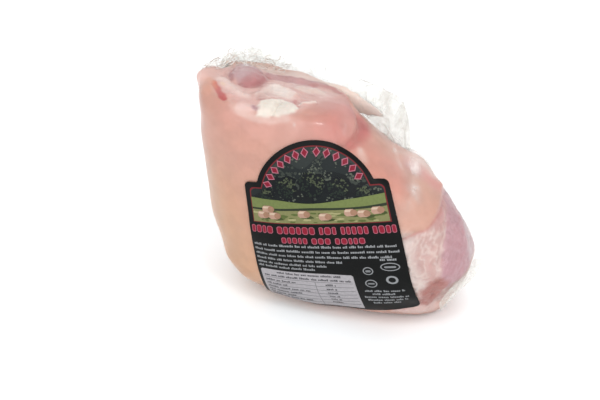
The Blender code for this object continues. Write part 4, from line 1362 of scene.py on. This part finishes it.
def add_trees():
    """A row of round trees, each a dark crown with green and lit leaves."""
    crowns, lights, greens = [], [], []
    for u, v, radius in TREES:
        top = v - radius * 0.6
        foot, neck = TRUNK_HALF_WIDTHS
        crowns.append(clump(u, v, radius, squash=0.95, points=20))
        crowns.append([(u - foot, TRUNK_FOOT), (u + foot, TRUNK_FOOT), (u + neck, top), (u - neck, top)])
        for _ in range(int(radius * LEAVES_PER_MM)):
            turn, reach = RANDOM.uniform(0, 2 * math.pi), radius * CROWN_REACH * math.sqrt(RANDOM.uniform())
            spot = (u + reach * math.cos(turn), v + reach * math.sin(turn))
            lit = math.sin(turn + LIGHT_TURN) * reach > radius * 0.1
            (lights if lit else greens).append(clump(*spot, RANDOM.uniform(*LEAF_SIZES)))
    printed("tree_crowns", crowns)
    printed_in_view("tree_greens", greens)
    printed_in_view("tree_lights", lights)


def add_meadow():
    """Fields with a hedge, low tufts of grass and bales of hay."""
    for name, top in MEADOWS.items():
        printed(name, [field(top)])
    across, up, radii = (RANDOM.uniform(*ends, GRASS_COUNT) for ends in (GRASS_ACROSS, GRASS_UP, GRASS_SIZES))
    grass = [clump(u, v, radius, squash=0.3, points=9) for u, v, radius in zip(across, up, radii)]
    printed_in_view("grass_dark", grass[:GRASS_DARK])
    printed_in_view("grass_pale", grass[GRASS_DARK:])
    wide, high = BALE_SIZE
    printed("bale_shade", [clump(u + wide * 0.35, v + 0.3, wide * 0.62, squash=0.28) for u, v in BALES])
    printed("bales", [bar(u - wide / 2, v, wide, high) for u, v in BALES])
    tops = [bar(u - wide / 2 + 0.4, v + high * 0.62, wide - 1.6, high * 0.28) for u, v in BALES]
    printed("bale_tops", tops)
    printed("bale_ends", [disc(u + wide / 2 - 0.8, v + high / 2, high * 0.44) for u, v in BALES])


def add_picture():
    """A country view in the label's upper window: hills, trees and a meadow, under an arc of lozenges."""
    printed("window_line", [window(*WINDOW_LINE)])
    printed("sky", [window(*SKY)])
    for name, top in HILLS.items():
        printed(name, [field(top)])
    for name, leaves in LEAVES.items():
        printed_in_view(name, foliage(*leaves))
    add_trees()
    add_meadow()
    arc = [(ARC_RADIUS * math.cos(turn), ARCH_CENTRE + ARC_RADIUS * math.sin(turn), turn)
           for turn in np.radians(ARC_ANGLES)]
    printed("arc_edges", [disc(u, v, *ARC_EDGE, points=4, turn=turn) for u, v, turn in arc])
    printed("arc_middles", [disc(u, v, *ARC_MIDDLE, points=4, turn=turn) for u, v, turn in arc])


def add_panel():
    """A pale table with lines and rows of dashes."""
    left, low, right, high = PANEL
    cut = PANEL_CORNER
    outline = [(left, low), (right, low), (right, high - cut), (right - cut, high), (left + cut, high),
               (left, high - cut)]
    printed("panel", [outline])
    lines = [rectangle(left + 1, right - 1, v, PANEL_LINE_HEIGHT) for v in PANEL_LINES]
    printed("panel_lines", lines + [rectangle(*PANEL_DIVIDER)])
    dashes = [block for row in PANEL_HEADS for block in small_row(*row)]
    for v, end in PANEL_ROWS:
        dashes += small_row(-34, end, v, 1.1) + small_row(-3, 2.5, v, 1.2)
    printed("panel_dashes", dashes)


def add_print():
    """What stands under the view: two title rows, rows of small print, plain marks and a pale table."""
    blocks = [block for row in TITLE_ROWS for block in block_row(*row)]
    rim = TITLE_RIM
    printed("title_edges", [bar(*block) for block in blocks])
    printed("title_middles", [bar(u + rim, v + rim, w - 2 * rim, h - 2 * rim) for u, v, w, h in blocks])
    small = [block for row in SMALL_ROWS for block in small_row(*row)]
    printed("small_print", small + [disc(*mark) for mark in MARKS])
    printed("mark_middles", [disc(*mark) for mark in MARK_MIDDLES])
    printed("mark_fills", [bar(*block) for block in MARK_BARS])
    add_panel()


# ---------------------------------------------------------------- the whole

ORIGIN = outline_origin()
add_camera()
add_studio()
RINGS_GRID = knuckle_rings()
OUTWARD = directions(RINGS_GRID)
CONTENTS_HEIGHT = add_contents(RINGS_GRID, OUTWARD)
FILM_GRID = RINGS_GRID + OUTWARD * film_height(RINGS_GRID, CONTENTS_HEIGHT)[..., None]
add_film(FILM_GRID)
LABEL = Label(*closed_body(FILM_GRID))
add_label()
add_picture()
add_print()
